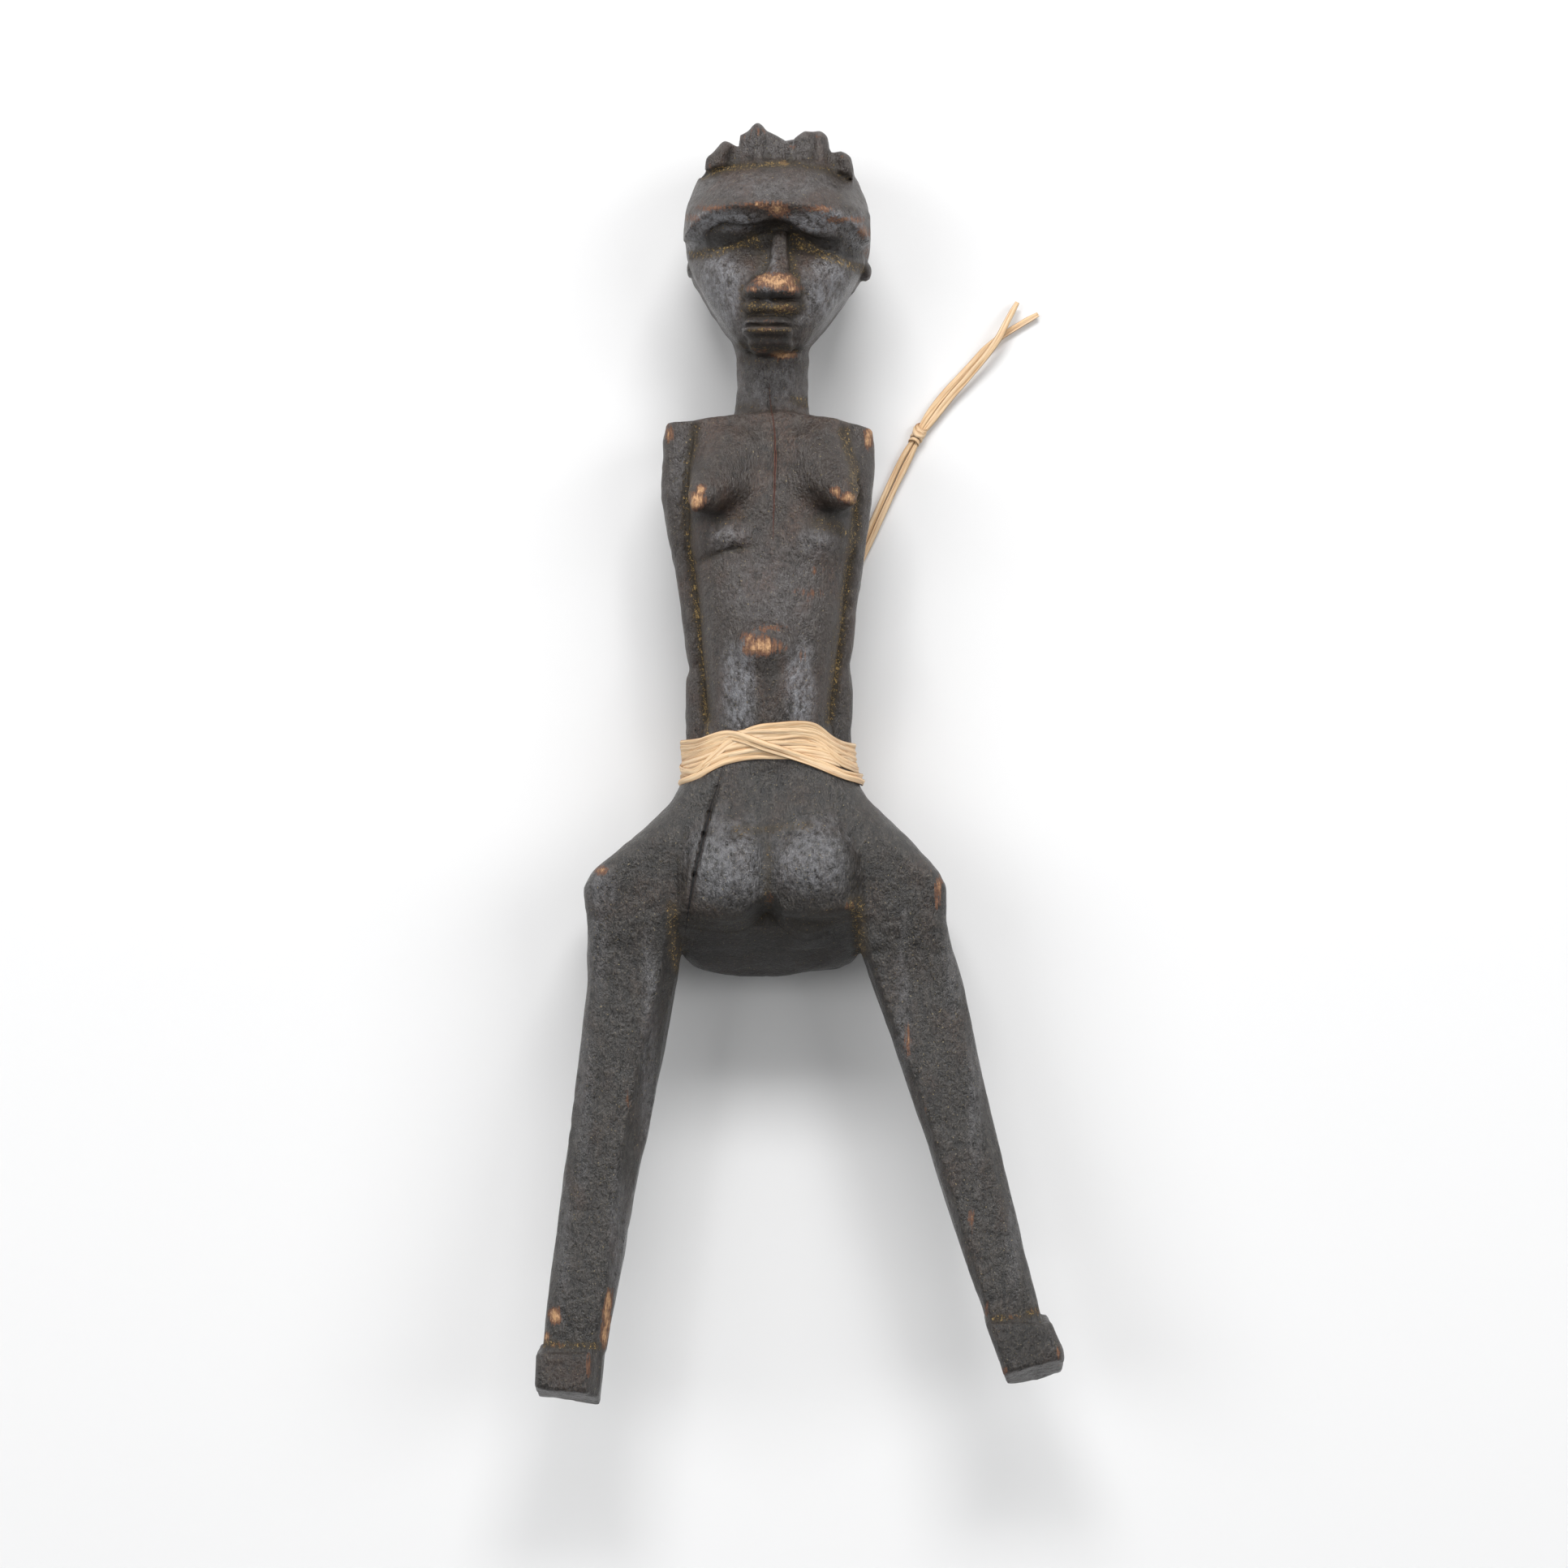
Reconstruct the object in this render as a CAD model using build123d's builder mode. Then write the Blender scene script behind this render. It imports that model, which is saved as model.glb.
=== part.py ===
from build123d import *
from math import pi, radians, tan
import os

# A carved wooden female figure with splayed legs, bound round the waist with raffia.
# Millimetres. The figure lies on its back: +Y runs from the soles to the crown, +Z is the
# front of the body and +X is the figure's left side. The origin is under the middle of the
# carving, on the surface that the back of the head and the buttocks rest on.

os.makedirs("parts", exist_ok=True)

# ---------------------------------------------------------------- driving dimensions
BODY_X = -5.7            # the trunk's middle line; the right leg reaches further out than the left
SOLE_Y = -117.5          # back edge of the longer foot
WAIST_TOP_Y = 8.5        # the waist keeps one outline from here ...
WAIST_LOW_Y = -4.6       # ... to here, under the raffia
WAIST_WIDTH = 30.2
WAIST_BACK_Z = 10.2
WAIST_FRONT_Z = 31.0
WAIST_CORNER = 6.0

SOLE_LEAN = 24           # degrees that the soles lean back from a square cut
BUTTOCK_RADIUS = 11.0
BUTTOCK_SPREAD = 9.8     # from the trunk's middle line to each buttock's middle
CONTACT_Y = -27.0        # where the buttocks touch the surface

STRAND = 1.3             # diameter of a raffia strand where it is drawn tight round the waist
TAIL = 1.6               # width of a raffia strand where it lies loose
TURNS = 3                # turns of each strand round the waist
TURN_PITCH = 1.55        # step from one turn to the next along the waist
CLEAR = 0.12             # room between the waist and the raffia, and between its two layers
ARC_SHARE = 0.45         # share of the shorter run that a cord's arc takes up at each end
HITCH = (7.5, 7.0, 3.6)  # the hitch behind the waist: width, height along the body, thickness
HITCH_CENTRE = (-4.5, -0.6)
KNOT = (4.6, 5.2, 2.7)   # the overhand knot in the tail: width, length, thickness
KNOT_CENTRE = (22.2, 63.0)
KNOT_TURN = -31          # degrees from +Y to the line of the tail at the knot


def section(y, left, right, back, front, corner):
    """A rounded rectangle across the figure at station y."""
    with BuildSketch(Plane.XZ.offset(-y)) as outline:
        with Locations(((left + right) / 2, (back + front) / 2)):
            RectangleRounded(right - left, front - back, corner)
    return outline.sketch


def waist_section(y):
    half = WAIST_WIDTH / 2
    return section(y, BODY_X - half, BODY_X + half, WAIST_BACK_Z, WAIST_FRONT_Z, WAIST_CORNER)


# ---------------------------------------------------------------- the carving
# Each list of stations gives y, left, right, back, front and corner radius.
TRUNK = [
    (18.0, -19.0, 8.0, 10.0, 33.5, 7.0),
    (31.0, -20.0, 9.2, 9.5, 32.5, 8.0),
    (45.0, -21.6, 11.0, 9.0, 32.5, 8.0),
    (55.0, -21.4, 10.8, 9.0, 31.0, 8.0),
    (60.5, -21.0, 10.0, 9.8, 27.5, 7.0),
    (63.8, -19.0, 8.4, 11.5, 23.5, 5.0),
]
LEFT_ARM = [
    (62.9, -23.9, -16.0, 12.0, 21.0, 3.0),
    (58.5, -25.2, -16.0, 10.2, 24.0, 4.0),
    (50.5, -25.4, -17.0, 10.2, 24.0, 4.0),
    (36.0, -22.9, -15.0, 10.8, 23.0, 3.6),
    (20.0, -21.1, -14.0, 11.2, 22.4, 3.4),
    (7.0, -20.1, -13.0, 12.0, 21.6, 3.0),
]
RIGHT_ARM = [
    (61.6, 4.5, 13.1, 12.0, 21.0, 3.0),
    (57.0, 5.0, 13.8, 10.2, 24.0, 4.0),
    (48.0, 5.0, 13.2, 10.2, 24.0, 4.0),
    (36.0, 4.0, 11.6, 10.8, 23.0, 3.6),
    (21.0, 3.0, 10.1, 11.2, 22.4, 3.4),
    (7.0, 1.6, 8.6, 12.0, 21.6, 3.0),
]
HIPS = [
    (-12.0, -28.4, 17.8, 9.0, 32.0, 7.0),
    (-20.5, -37.6, 25.4, 9.6, 32.6, 6.5),
    (-27.0, -39.2, 26.4, 10.6, 32.4, 5.5),
    (-34.0, -37.0, 25.0, 14.0, 29.0, 4.5),
]
PELVIS = [
    (-12.0, -22.6, 11.4, 6.2, 34.6, 7.5),
    (-20.5, -23.4, 12.2, 3.2, 37.4, 8.0),
    (-27.0, -23.0, 12.0, 2.6, 37.2, 8.0),
    (-33.5, -20.0, 9.4, 4.4, 30.0, 7.0),
    (-39.0, -14.0, 3.6, 9.0, 20.0, 4.5),
]
NECK = [
    (61.5, -12.2, 2.1, 10.0, 24.4, 6.2),
    (70.0, -11.8, 1.6, 10.3, 23.8, 6.2),
    (80.0, -11.6, 1.6, 10.0, 25.0, 6.2),
]
SKULL = [
    (76.2, -11.0, 1.2, 12.0, 31.5, 5.0),
    (79.5, -13.2, 3.6, 8.6, 33.0, 6.5),
    (83.1, -15.8, 6.6, 5.2, 34.0, 8.0),
    (87.5, -18.4, 9.8, 2.4, 34.6, 10.5),
    (92.0, -20.3, 12.2, 0.6, 35.0, 12.5),
    (97.0, -20.9, 12.9, 0.0, 36.0, 13.5),
    (101.5, -20.4, 12.3, 0.3, 36.6, 13.5),
    (105.5, -19.3, 11.2, 2.4, 34.2, 12.5),
    (108.3, -17.2, 9.2, 5.4, 30.6, 10.5),
    (110.2, -13.0, 5.4, 9.0, 26.0, 7.5),
]
LEFT_LEG = [
    (-24.0, -38.6, -21.0, 11.0, 31.5, 3.4),
    (-38.7, -38.7, -22.4, 13.0, 30.5, 3.2),
    (-58.0, -40.8, -26.2, 16.5, 31.8, 3.0),
    (-86.5, -44.4, -31.5, 20.5, 33.8, 2.6),
    (-100.0, -46.4, -34.2, 22.6, 35.0, 2.4),
    (-107.0, -47.2, -35.6, 23.7, 35.4, 2.2),
]
LEFT_FOOT = [
    (-106.8, -47.8, -35.0, 23.2, 36.2, 2.0),
    (-120.0, -48.3, -37.0, 25.6, 37.6, 2.0),
]
RIGHT_LEG = [
    (-22.0, 9.0, 26.2, 11.0, 31.5, 3.4),
    (-34.2, 11.0, 28.0, 12.4, 30.8, 3.2),
    (-50.6, 17.2, 32.2, 15.0, 31.4, 3.0),
    (-77.5, 26.1, 38.1, 19.0, 32.8, 2.6),
    (-95.5, 32.2, 42.9, 21.8, 34.4, 2.4),
    (-102.0, 34.6, 44.4, 22.8, 34.8, 2.2),
]
RIGHT_FOOT = [
    (-101.8, 33.8, 46.0, 22.4, 35.8, 2.0),
    (-107.0, 35.8, 48.0, 23.4, 36.4, 2.0),
    (-117.0, 38.6, 48.2, 25.0, 37.4, 2.0),
]
RIGHT_SOLE_Y = -113.6
# The tufts of the crest: base x, y and z, tip x, y and z, and base radius.
TUFTS = [
    (-13.2, 106.2, 20.0, -14.2, 113.4, 19.0, 5.0),
    (-6.6, 108.0, 21.0, -7.4, 117.0, 18.0, 5.8),
    (1.8, 107.8, 21.0, 2.4, 115.8, 18.5, 5.2),
    (6.4, 105.5, 19.0, 7.8, 112.0, 17.0, 3.8),
    (-12.0, 106.0, 11.0, -12.8, 112.6, 10.5, 5.0),
    (-4.0, 107.0, 10.0, -4.2, 115.0, 10.0, 5.6),
    (4.0, 106.0, 11.0, 4.8, 112.8, 10.5, 5.0),
]
TUFT_TIP = 2.0
# The breasts: base x, y and z, tip x, y and z, base radius and tip radius.
BREASTS = [
    (-14.6, 49.8, 27.5, -18.0, 46.6, 36.6, 6.6, 2.0),
    (4.6, 49.4, 27.5, 9.0, 47.4, 36.6, 6.6, 2.0),
]


def cone_between(base, tip, base_radius, tip_radius):
    """A tapered round boss from one point to another."""
    axis = Vector(*tip) - Vector(*base)
    placed = Plane(origin=base, z_dir=axis)
    return placed * Cone(
        base_radius, tip_radius, axis.length, align=(Align.CENTER, Align.CENTER, Align.MIN)
    )


def sole_cutter(x, y, back_z):
    """A block below a sole that leans back, hinged on the sole's back edge."""
    place = Plane(origin=(x, y, back_z)).rotated((-SOLE_LEAN, 0, 0))
    return place * Box(40, 40, 60, align=(Align.CENTER, Align.MAX, Align.CENTER))


tuft_cones = [
    cone_between(t[0:3], t[3:6], t[6], TUFT_TIP) for t in TUFTS
]
breast_cones = [
    cone_between(b[0:3], b[3:6], b[6], b[7]) for b in BREASTS
]
sole_cutters = [
    sole_cutter(-42.0, SOLE_Y, 25.1),
    sole_cutter(42.5, RIGHT_SOLE_Y, 24.4),
]

with BuildPart() as carved_figure:
    # trunk, from the shoulders down to the waist, and the waist itself
    loft(sections=[waist_section(WAIST_TOP_Y)] + [section(*s) for s in TRUNK])
    loft(sections=[waist_section(WAIST_LOW_Y), waist_section(WAIST_TOP_Y)])
    # arms, carved against the sides
    loft(sections=[section(*s) for s in LEFT_ARM], ruled=True)
    loft(sections=[section(*s) for s in RIGHT_ARM], ruled=True)
    # hips and pelvis, chiselled in flat facets, and the buttocks that the figure lies on
    loft(sections=[waist_section(WAIST_LOW_Y)] + [section(*s) for s in HIPS], ruled=True)
    loft(sections=[waist_section(WAIST_LOW_Y)] + [section(*s) for s in PELVIS], ruled=True)
    for side in (-BUTTOCK_SPREAD, BUTTOCK_SPREAD):
        with Locations((BODY_X + side, CONTACT_Y, BUTTOCK_RADIUS)):
            Sphere(BUTTOCK_RADIUS)
    # legs and feet
    for stations in (LEFT_LEG, LEFT_FOOT, RIGHT_LEG, RIGHT_FOOT):
        loft(sections=[section(*s) for s in stations], ruled=True)
    for cutter in sole_cutters:
        add(cutter, mode=Mode.SUBTRACT)
    # neck and head
    loft(sections=[section(*s) for s in NECK])
    loft(sections=[section(*s) for s in SKULL])
    # the face is cut back under the brow
    with BuildSketch(Plane.YZ.offset(-30)):
        with BuildLine():
            Polyline((99.8, 33.0), (100.6, 45.0), (70.0, 45.0), (70.0, 33.8), (84.0, 34.0), close=True)
        make_face()
    extrude(amount=50, mode=Mode.SUBTRACT)
    # nose, lip band and mouth stand proud of the face
    loft(sections=[section(99.0, -6.2, -2.0, 30.0, 34.4, 1.2), section(87.0, -10.2, 0.2, 30.0, 39.6, 2.0)])
    loft(sections=[section(85.8, -9.8, 0.0, 28.0, 36.2, 1.0), section(83.6, -9.8, 0.0, 28.0, 35.6, 1.0)])
    loft(sections=[section(82.3, -10.6, -1.0, 26.0, 36.4, 1.4), section(78.4, -10.6, -1.0, 26.0, 36.0, 1.4)])
    with Locations((BODY_X, 80.4, 36.5)):
        Box(8.4, 0.9, 2.4, mode=Mode.SUBTRACT)
    # ears, breasts, navel and the tufts of the crest
    with Locations((-19.6, 91.4, 17.0), (11.9, 91.0, 17.0)):
        Sphere(1.7)
    with Locations((-6.6, 21.8, 31.8)):
        Sphere(2.8)
    add(breast_cones)
    add(tuft_cones)
    # a shallow notch across the lower belly and the groove below it
    with Locations((-4.9, -12.6, 35.6)):
        Box(14.0, 1.4, 2.8, mode=Mode.SUBTRACT)
    with Locations((-6.0, -20.0, 38.0)):
        Box(1.2, 12.0, 3.0, mode=Mode.SUBTRACT)

carved_figure.part.label = "carved_figure"
export_step(carved_figure.part, "parts/carved_figure.step")


# ---------------------------------------------------------------- the raffia
def winding_points(lift, front_left, front_middle, front_right, back_right, back_left):
    """Corners of a strand's route round the waist, lift mm off it, from behind and back to behind.

    The five heights are those of the first turn, and each later turn lies one pitch higher.
    """
    left = BODY_X - WAIST_WIDTH / 2 - lift
    right = BODY_X + WAIST_WIDTH / 2 + lift
    back = WAIST_BACK_Z - lift
    front = WAIST_FRONT_Z + lift
    share = (right - HITCH_CENTRE[0]) / (right - left)
    behind = back_right + share * (back_left - back_right)
    points = [(HITCH_CENTRE[0], behind - TURN_PITCH, back)]
    points.append((left, back_left - TURN_PITCH, back))
    for turn in range(TURNS):
        rise = turn * TURN_PITCH
        points.append((left, front_left + rise, front))
        points.append((BODY_X, front_middle + rise, front))
        points.append((right, front_right + rise, front))
        points.append((right, back_right + rise, back))
        points.append((left, back_left + rise, back))
    points[-1] = (HITCH_CENTRE[0], behind + rise, back)
    return points


def corner_radii(points):
    """The largest arc that each corner's two runs allow."""
    radii = []
    for before, corner, after in zip(points, points[1:], points[2:]):
        run_in = Vector(*corner) - Vector(*before)
        run_out = Vector(*after) - Vector(*corner)
        half_turn = radians(run_in.get_angle(run_out)) / 2
        radii.append(ARC_SHARE * min(run_in.length, run_out.length) / tan(half_turn))
    return radii


def report(name, piece, path, width, radii):
    """Length, arcs, and the solid's volume against its section times its length."""
    length = sum(edge.length for edge in path.edges())
    expected = length * pi * width**2 / 4
    print(
        f"{name}: length {length:.1f} mm, radii {[round(r, 1) for r in radii]}, "
        f"volume ratio {piece.volume / expected:.4f}, low z {piece.bounding_box().min.Z:.2f}"
    )


INNER_LIFT = STRAND / 2 + CLEAR
OUTER_LIFT = INNER_LIFT + STRAND + CLEAR
INNER_ROUTE = winding_points(INNER_LIFT, -2.2, 2.6, 1.8, -0.4, -2.2)
OUTER_ROUTE = winding_points(OUTER_LIFT, 1.4, 3.0, -2.6, -2.3, 0.2)

# The two tail strands, from the hitch across the surface to their tips, chosen by hand.
TAIL_A = [
    (-5.6, 2.9, 5.2),
    (-5.6, 8.8, 5.2),
    (-3.6, 15.6, 3.4),
    (0.4, 23.2, 1.7),
    (5.6, 31.0, 0.95),
    (11.2, 40.7, 1.0),
    (15.7, 50.8, 1.0),
    (20.5, 61.0, 1.35),
    (26.2, 69.6, 1.3),
    (32.2, 76.0, 1.0),
    (37.0, 81.0, 0.95),
    (45.6, 85.8, 0.95),
]
TAIL_B = [
    (-3.2, 2.9, 5.2),
    (-3.2, 8.2, 5.2),
    (-0.8, 14.8, 3.3),
    (3.4, 22.2, 1.6),
    (8.0, 30.4, 0.95),
    (12.8, 39.9, 1.0),
    (17.3, 50.0, 1.0),
    (22.2, 60.1, 1.35),
    (27.6, 68.2, 1.3),
    (33.6, 74.8, 2.3),
    (37.8, 80.6, 3.1),
    (39.4, 84.0, 2.6),
    (41.6, 88.0, 1.5),
]

with BuildPart() as winding_strand_a:
    with BuildLine() as inner_path:
        FilletPolyline(*INNER_ROUTE, radius=WAIST_CORNER + INNER_LIFT)
    with BuildSketch(Plane(origin=inner_path.line @ 0, z_dir=inner_path.line % 0)):
        Circle(STRAND / 2)
    sweep(path=inner_path.line)

with BuildPart() as winding_strand_b:
    with BuildLine() as outer_path:
        FilletPolyline(*OUTER_ROUTE, radius=WAIST_CORNER + OUTER_LIFT)
    with BuildSketch(Plane(origin=outer_path.line @ 0, z_dir=outer_path.line % 0)):
        Circle(STRAND / 2)
    sweep(path=outer_path.line)

with BuildPart() as waist_hitch:
    hitch_top = WAIST_BACK_Z - OUTER_LIFT - STRAND / 2 - CLEAR
    with BuildSketch(Plane.XY.offset(hitch_top)):
        with Locations(HITCH_CENTRE):
            RectangleRounded(HITCH[0], HITCH[1], 1.8)
    extrude(amount=-HITCH[2])
    fillet(waist_hitch.faces().sort_by(Axis.Z)[0].edges(), radius=0.9)

with BuildPart() as tail_strand_a:
    with BuildLine() as path_a:
        FilletPolyline(*TAIL_A, radius=corner_radii(TAIL_A))
    with BuildSketch(Plane(origin=path_a.line @ 0, z_dir=path_a.line % 0)):
        Circle(TAIL / 2)
    sweep(path=path_a.line)

with BuildPart() as tail_strand_b:
    with BuildLine() as path_b:
        FilletPolyline(*TAIL_B, radius=corner_radii(TAIL_B))
    with BuildSketch(Plane(origin=path_b.line @ 0, z_dir=path_b.line % 0)):
        Circle(TAIL / 2)
    sweep(path=path_b.line)

with BuildPart() as tail_knot:
    with BuildSketch(Plane.XY.offset(0.05)):
        with Locations(Location(KNOT_CENTRE, KNOT_TURN)):
            RectangleRounded(KNOT[0], KNOT[1], 1.6)
    extrude(amount=KNOT[2])
    fillet(tail_knot.faces().filter_by(Axis.Z).edges(), radius=0.45)
    add(tail_strand_a.part, mode=Mode.SUBTRACT)
    add(tail_strand_b.part, mode=Mode.SUBTRACT)

raffia = {
    "winding_strand_a": winding_strand_a,
    "winding_strand_b": winding_strand_b,
    "waist_hitch": waist_hitch,
    "tail_strand_a": tail_strand_a,
    "tail_strand_b": tail_strand_b,
    "tail_knot": tail_knot,
}
for name, piece in raffia.items():
    piece.part.label = name
    export_step(piece.part, f"parts/{name}.step")

report("winding_strand_a", winding_strand_a.part, inner_path, STRAND, [WAIST_CORNER + INNER_LIFT])
report("winding_strand_b", winding_strand_b.part, outer_path, STRAND, [WAIST_CORNER + OUTER_LIFT])
report("tail_strand_a", tail_strand_a.part, path_a, TAIL, corner_radii(TAIL_A))
report("tail_strand_b", tail_strand_b.part, path_b, TAIL, corner_radii(TAIL_B))
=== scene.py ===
from math import cos, pi, radians, sin

import bpy
import numpy as np
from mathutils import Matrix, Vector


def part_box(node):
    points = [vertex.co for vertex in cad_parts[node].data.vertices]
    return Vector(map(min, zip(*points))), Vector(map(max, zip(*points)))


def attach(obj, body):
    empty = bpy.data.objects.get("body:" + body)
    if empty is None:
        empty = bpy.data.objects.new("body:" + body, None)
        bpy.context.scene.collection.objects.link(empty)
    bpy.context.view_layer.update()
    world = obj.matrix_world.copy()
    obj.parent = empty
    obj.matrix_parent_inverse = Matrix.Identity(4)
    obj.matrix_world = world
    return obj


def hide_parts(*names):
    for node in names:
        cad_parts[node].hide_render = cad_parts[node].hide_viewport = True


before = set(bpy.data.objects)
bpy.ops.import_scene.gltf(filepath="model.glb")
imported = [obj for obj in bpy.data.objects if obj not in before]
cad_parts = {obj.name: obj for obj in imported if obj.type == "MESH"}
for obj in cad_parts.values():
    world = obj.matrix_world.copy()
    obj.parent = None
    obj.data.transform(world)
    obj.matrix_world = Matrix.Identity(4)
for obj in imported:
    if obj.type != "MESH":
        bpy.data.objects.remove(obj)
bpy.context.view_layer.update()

import openvdb
from mathutils import Vector

MM = 0.001
WOOD_LOW, WOOD_HIGH = (np.array(corner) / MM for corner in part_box("carved_figure"))
VOXEL = 0.42        # millimetres between sculpting samples
MOST_TRIANGLES = 190_000


# ---------------------------------------------------------------- camera
def make_camera():
    """Straight down over the figure, as the object was seen."""
    data = bpy.data.cameras.new("camera")
    data.lens = 85
    data.sensor_width = 36
    camera = bpy.data.objects.new("camera", data)
    camera.location = (-0.00284, -0.0037, 0.7064)
    bpy.context.collection.objects.link(camera)
    bpy.context.scene.camera = camera


make_camera()


# ---------------------------------------------------------------- tools
def smooth(y, ys, values):
    """Values at y, from a cubic through the stations that doesn't overshoot."""
    slope = np.diff(values) / np.diff(ys)
    tangent = np.concatenate(([slope[0]], (slope[:-1] + slope[1:]) / 2, [slope[-1]]))
    tangent[1:-1][slope[:-1] * slope[1:] <= 0] = 0
    i = np.clip(np.searchsorted(ys, y) - 1, 0, len(ys) - 2)
    step = ys[i + 1] - ys[i]
    t = np.clip((y - ys[i]) / step, 0, 1)
    start = (2 * t**3 - 3 * t**2 + 1) * values[i] + (t**3 - 2 * t**2 + t) * step * tangent[i]
    end = (3 * t**2 - 2 * t**3) * values[i + 1] + (t**3 - t**2) * step * tangent[i + 1]
    return (start + end).astype(np.float32)


def lattice(key):
    """A repeatable value from 0 to 1 for each whole number in key."""
    key = (key ^ (key >> 15)) * np.uint32(0x2C1B3C6D)
    key = (key ^ (key >> 12)) * np.uint32(0x297A2D39)
    return ((key ^ (key >> 15)) & np.uint32(0xFFFF)).astype(np.float32) / 65535


def noise(x, y, z, size, seed=0):
    """Smooth noise from -1 to 1; size gives the grain along each axis in millimetres."""
    total = 0
    cells, parts = [], []
    for value, scale in zip((x, y, z), size):
        place = value / scale + 500
        whole = np.floor(place)
        part = (place - whole).astype(np.float32)
        cells.append(whole.astype(np.uint32))
        parts.append(part * part * (3 - 2 * part))
    for corner in range(8):
        key = np.uint32(seed * 7919 + 17)
        weight = 1
        for axis, prime in enumerate((73856093, 19349663, 83492791)):
            bit = (corner >> axis) & 1
            key = key ^ ((cells[axis] + np.uint32(bit)) * np.uint32(prime))
            weight = weight * (parts[axis] if bit else 1 - parts[axis])
        total = total + weight * lattice(key)
    return 2 * total - 1


class Shader:
    """A node material, built by calls that return output sockets."""

    def __init__(self, name):
        self.material = bpy.data.materials.new(name)
        self.material.use_nodes = True
        self.tree = self.material.node_tree
        self.surface = self.tree.nodes["Principled BSDF"]

    def link(self, socket, value):
        if isinstance(value, bpy.types.NodeSocket):
            self.tree.links.new(value, socket)
        else:
            socket.default_value = value

    def add(self, kind, out=0, settings=None, **inputs):
        node = self.tree.nodes.new("ShaderNode" + kind)
        for key, value in (settings or {}).items():
            setattr(node, key, value)
        for key, value in inputs.items():
            name = key.replace("_", " ")
            numbered = name[0] == "i" and name[1:].isdigit()
            self.link(node.inputs[int(name[1:]) if numbered else name], value)
        return node.outputs[out]

    def attribute(self, name):
        return self.add("Attribute", out="Fac", settings={"attribute_name": name})

    def place(self, scale):
        spot = self.add("TexCoord", out="Object")
        return self.add("Mapping", Vector=spot, Scale=scale)

    def noise(self, scale, detail=3.0, rough=0.55):
        """Noise whose scale says how many grains there are in a millimetre along each axis."""
        spot = self.place(tuple(each / MM for each in scale))
        return self.add("TexNoise", Vector=spot, Scale=1.0, Detail=detail, Roughness=rough)

    def math(self, operation, a, b=0.0, clamp=False):
        return self.add("Math", settings={"operation": operation, "use_clamp": clamp}, i0=a, i1=b)

    def times(self, a, b, clamp=False):
        return self.math("MULTIPLY", a, b, clamp)

    def plus(self, a, b, clamp=False):
        return self.math("ADD", a, b, clamp)

    def minus(self, a, b):
        return self.math("SUBTRACT", a, b)

    def ramp(self, value, low, high):
        """0 below low, 1 above high, smooth between."""
        return self.add("MapRange", settings={"interpolation_type": "SMOOTHSTEP"}, Value=value,
                        From_Min=low, From_Max=high)

    def mix(self, share, a, b):
        node = self.tree.nodes.new("ShaderNodeMix")
        node.data_type = "RGBA"
        self.link(node.inputs[0], share)
        self.link(node.inputs[6], a)
        self.link(node.inputs[7], b)
        return node.outputs[2]

    def bump(self, height, distance, strength):
        node = self.tree.nodes.new("ShaderNodeBump")
        self.link(node.inputs["Height"], height)
        node.inputs["Distance"].default_value = distance
        node.inputs["Strength"].default_value = strength
        return node.outputs[0]


def rgb(code):
    """A colour as written in a picture, turned into linear light."""
    parts = [int(code[i:i + 2], 16) / 255 for i in (0, 2, 4)]
    return tuple(p / 12.92 if p <= 0.04045 else ((p + 0.055) / 1.055) ** 2.4 for p in parts) + (1,)


# ---------------------------------------------------------------- raffia tail
# The tail strands' routes, from the hitch over the surface to their tips, in metres.
TAIL_A = [
    (-0.0056, 0.0029, 0.0052), (-0.0056, 0.0088, 0.0052), (-0.0036, 0.0156, 0.0034),
    (0.0004, 0.0232, 0.0017),
    (0.0056, 0.0310, 0.00095), (0.0112, 0.0407, 0.0010), (0.0157, 0.0508, 0.0010),
    (0.0205, 0.0610, 0.00135),
    (0.0262, 0.0696, 0.0013), (0.0322, 0.0760, 0.0010), (0.0370, 0.0810, 0.00095),
    (0.0456, 0.0858, 0.00095),
]
TAIL_B = [
    (-0.0032, 0.0029, 0.0052), (-0.0032, 0.0082, 0.0052), (-0.0008, 0.0148, 0.0033),
    (0.0034, 0.0222, 0.0016),
    (0.0080, 0.0304, 0.00095), (0.0128, 0.0399, 0.0010), (0.0173, 0.0500, 0.0010),
    (0.0222, 0.0601, 0.00135),
    (0.0276, 0.0682, 0.0013), (0.0336, 0.0748, 0.0023), (0.0378, 0.0806, 0.0031),
    (0.0394, 0.0840, 0.0026),
    (0.0416, 0.0880, 0.0015),
]
KNOT = np.array([22.7, 62.7, 1.35])


def unit(vectors):
    return vectors / np.maximum(np.linalg.norm(vectors, axis=-1, keepdims=True), 1e-9)


def store(mesh, layers):
    """Keep named values, one for each vertex, for the material to read."""
    for name, values in layers.items():
        layer = mesh.attributes.new(name, "FLOAT", "POINT")
        layer.data.foreach_set("value", np.ascontiguousarray(values, np.float32).ravel())


def strip_object(name, points, layers):
    """A closed tube through rings of points in mm."""
    count, around = points.shape[:2]
    faces = []
    for i in range(count - 1):
        for j in range(around):
            k = (j + 1) % around
            faces.append((i * around + j, i * around + k, (i + 1) * around + k, (i + 1) * around + j))
    faces.append(tuple(range(around))[::-1])
    faces.append(tuple((count - 1) * around + j for j in range(around)))
    mesh = bpy.data.meshes.new(name)
    mesh.from_pydata((points.reshape(-1, 3) * MM).tolist(), [], faces)
    mesh.update()
    mesh.polygons.foreach_set("use_smooth", [True] * len(mesh.polygons))
    store(mesh, layers)
    made = bpy.data.objects.new(name, mesh)
    bpy.context.collection.objects.link(made)
    return made


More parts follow.
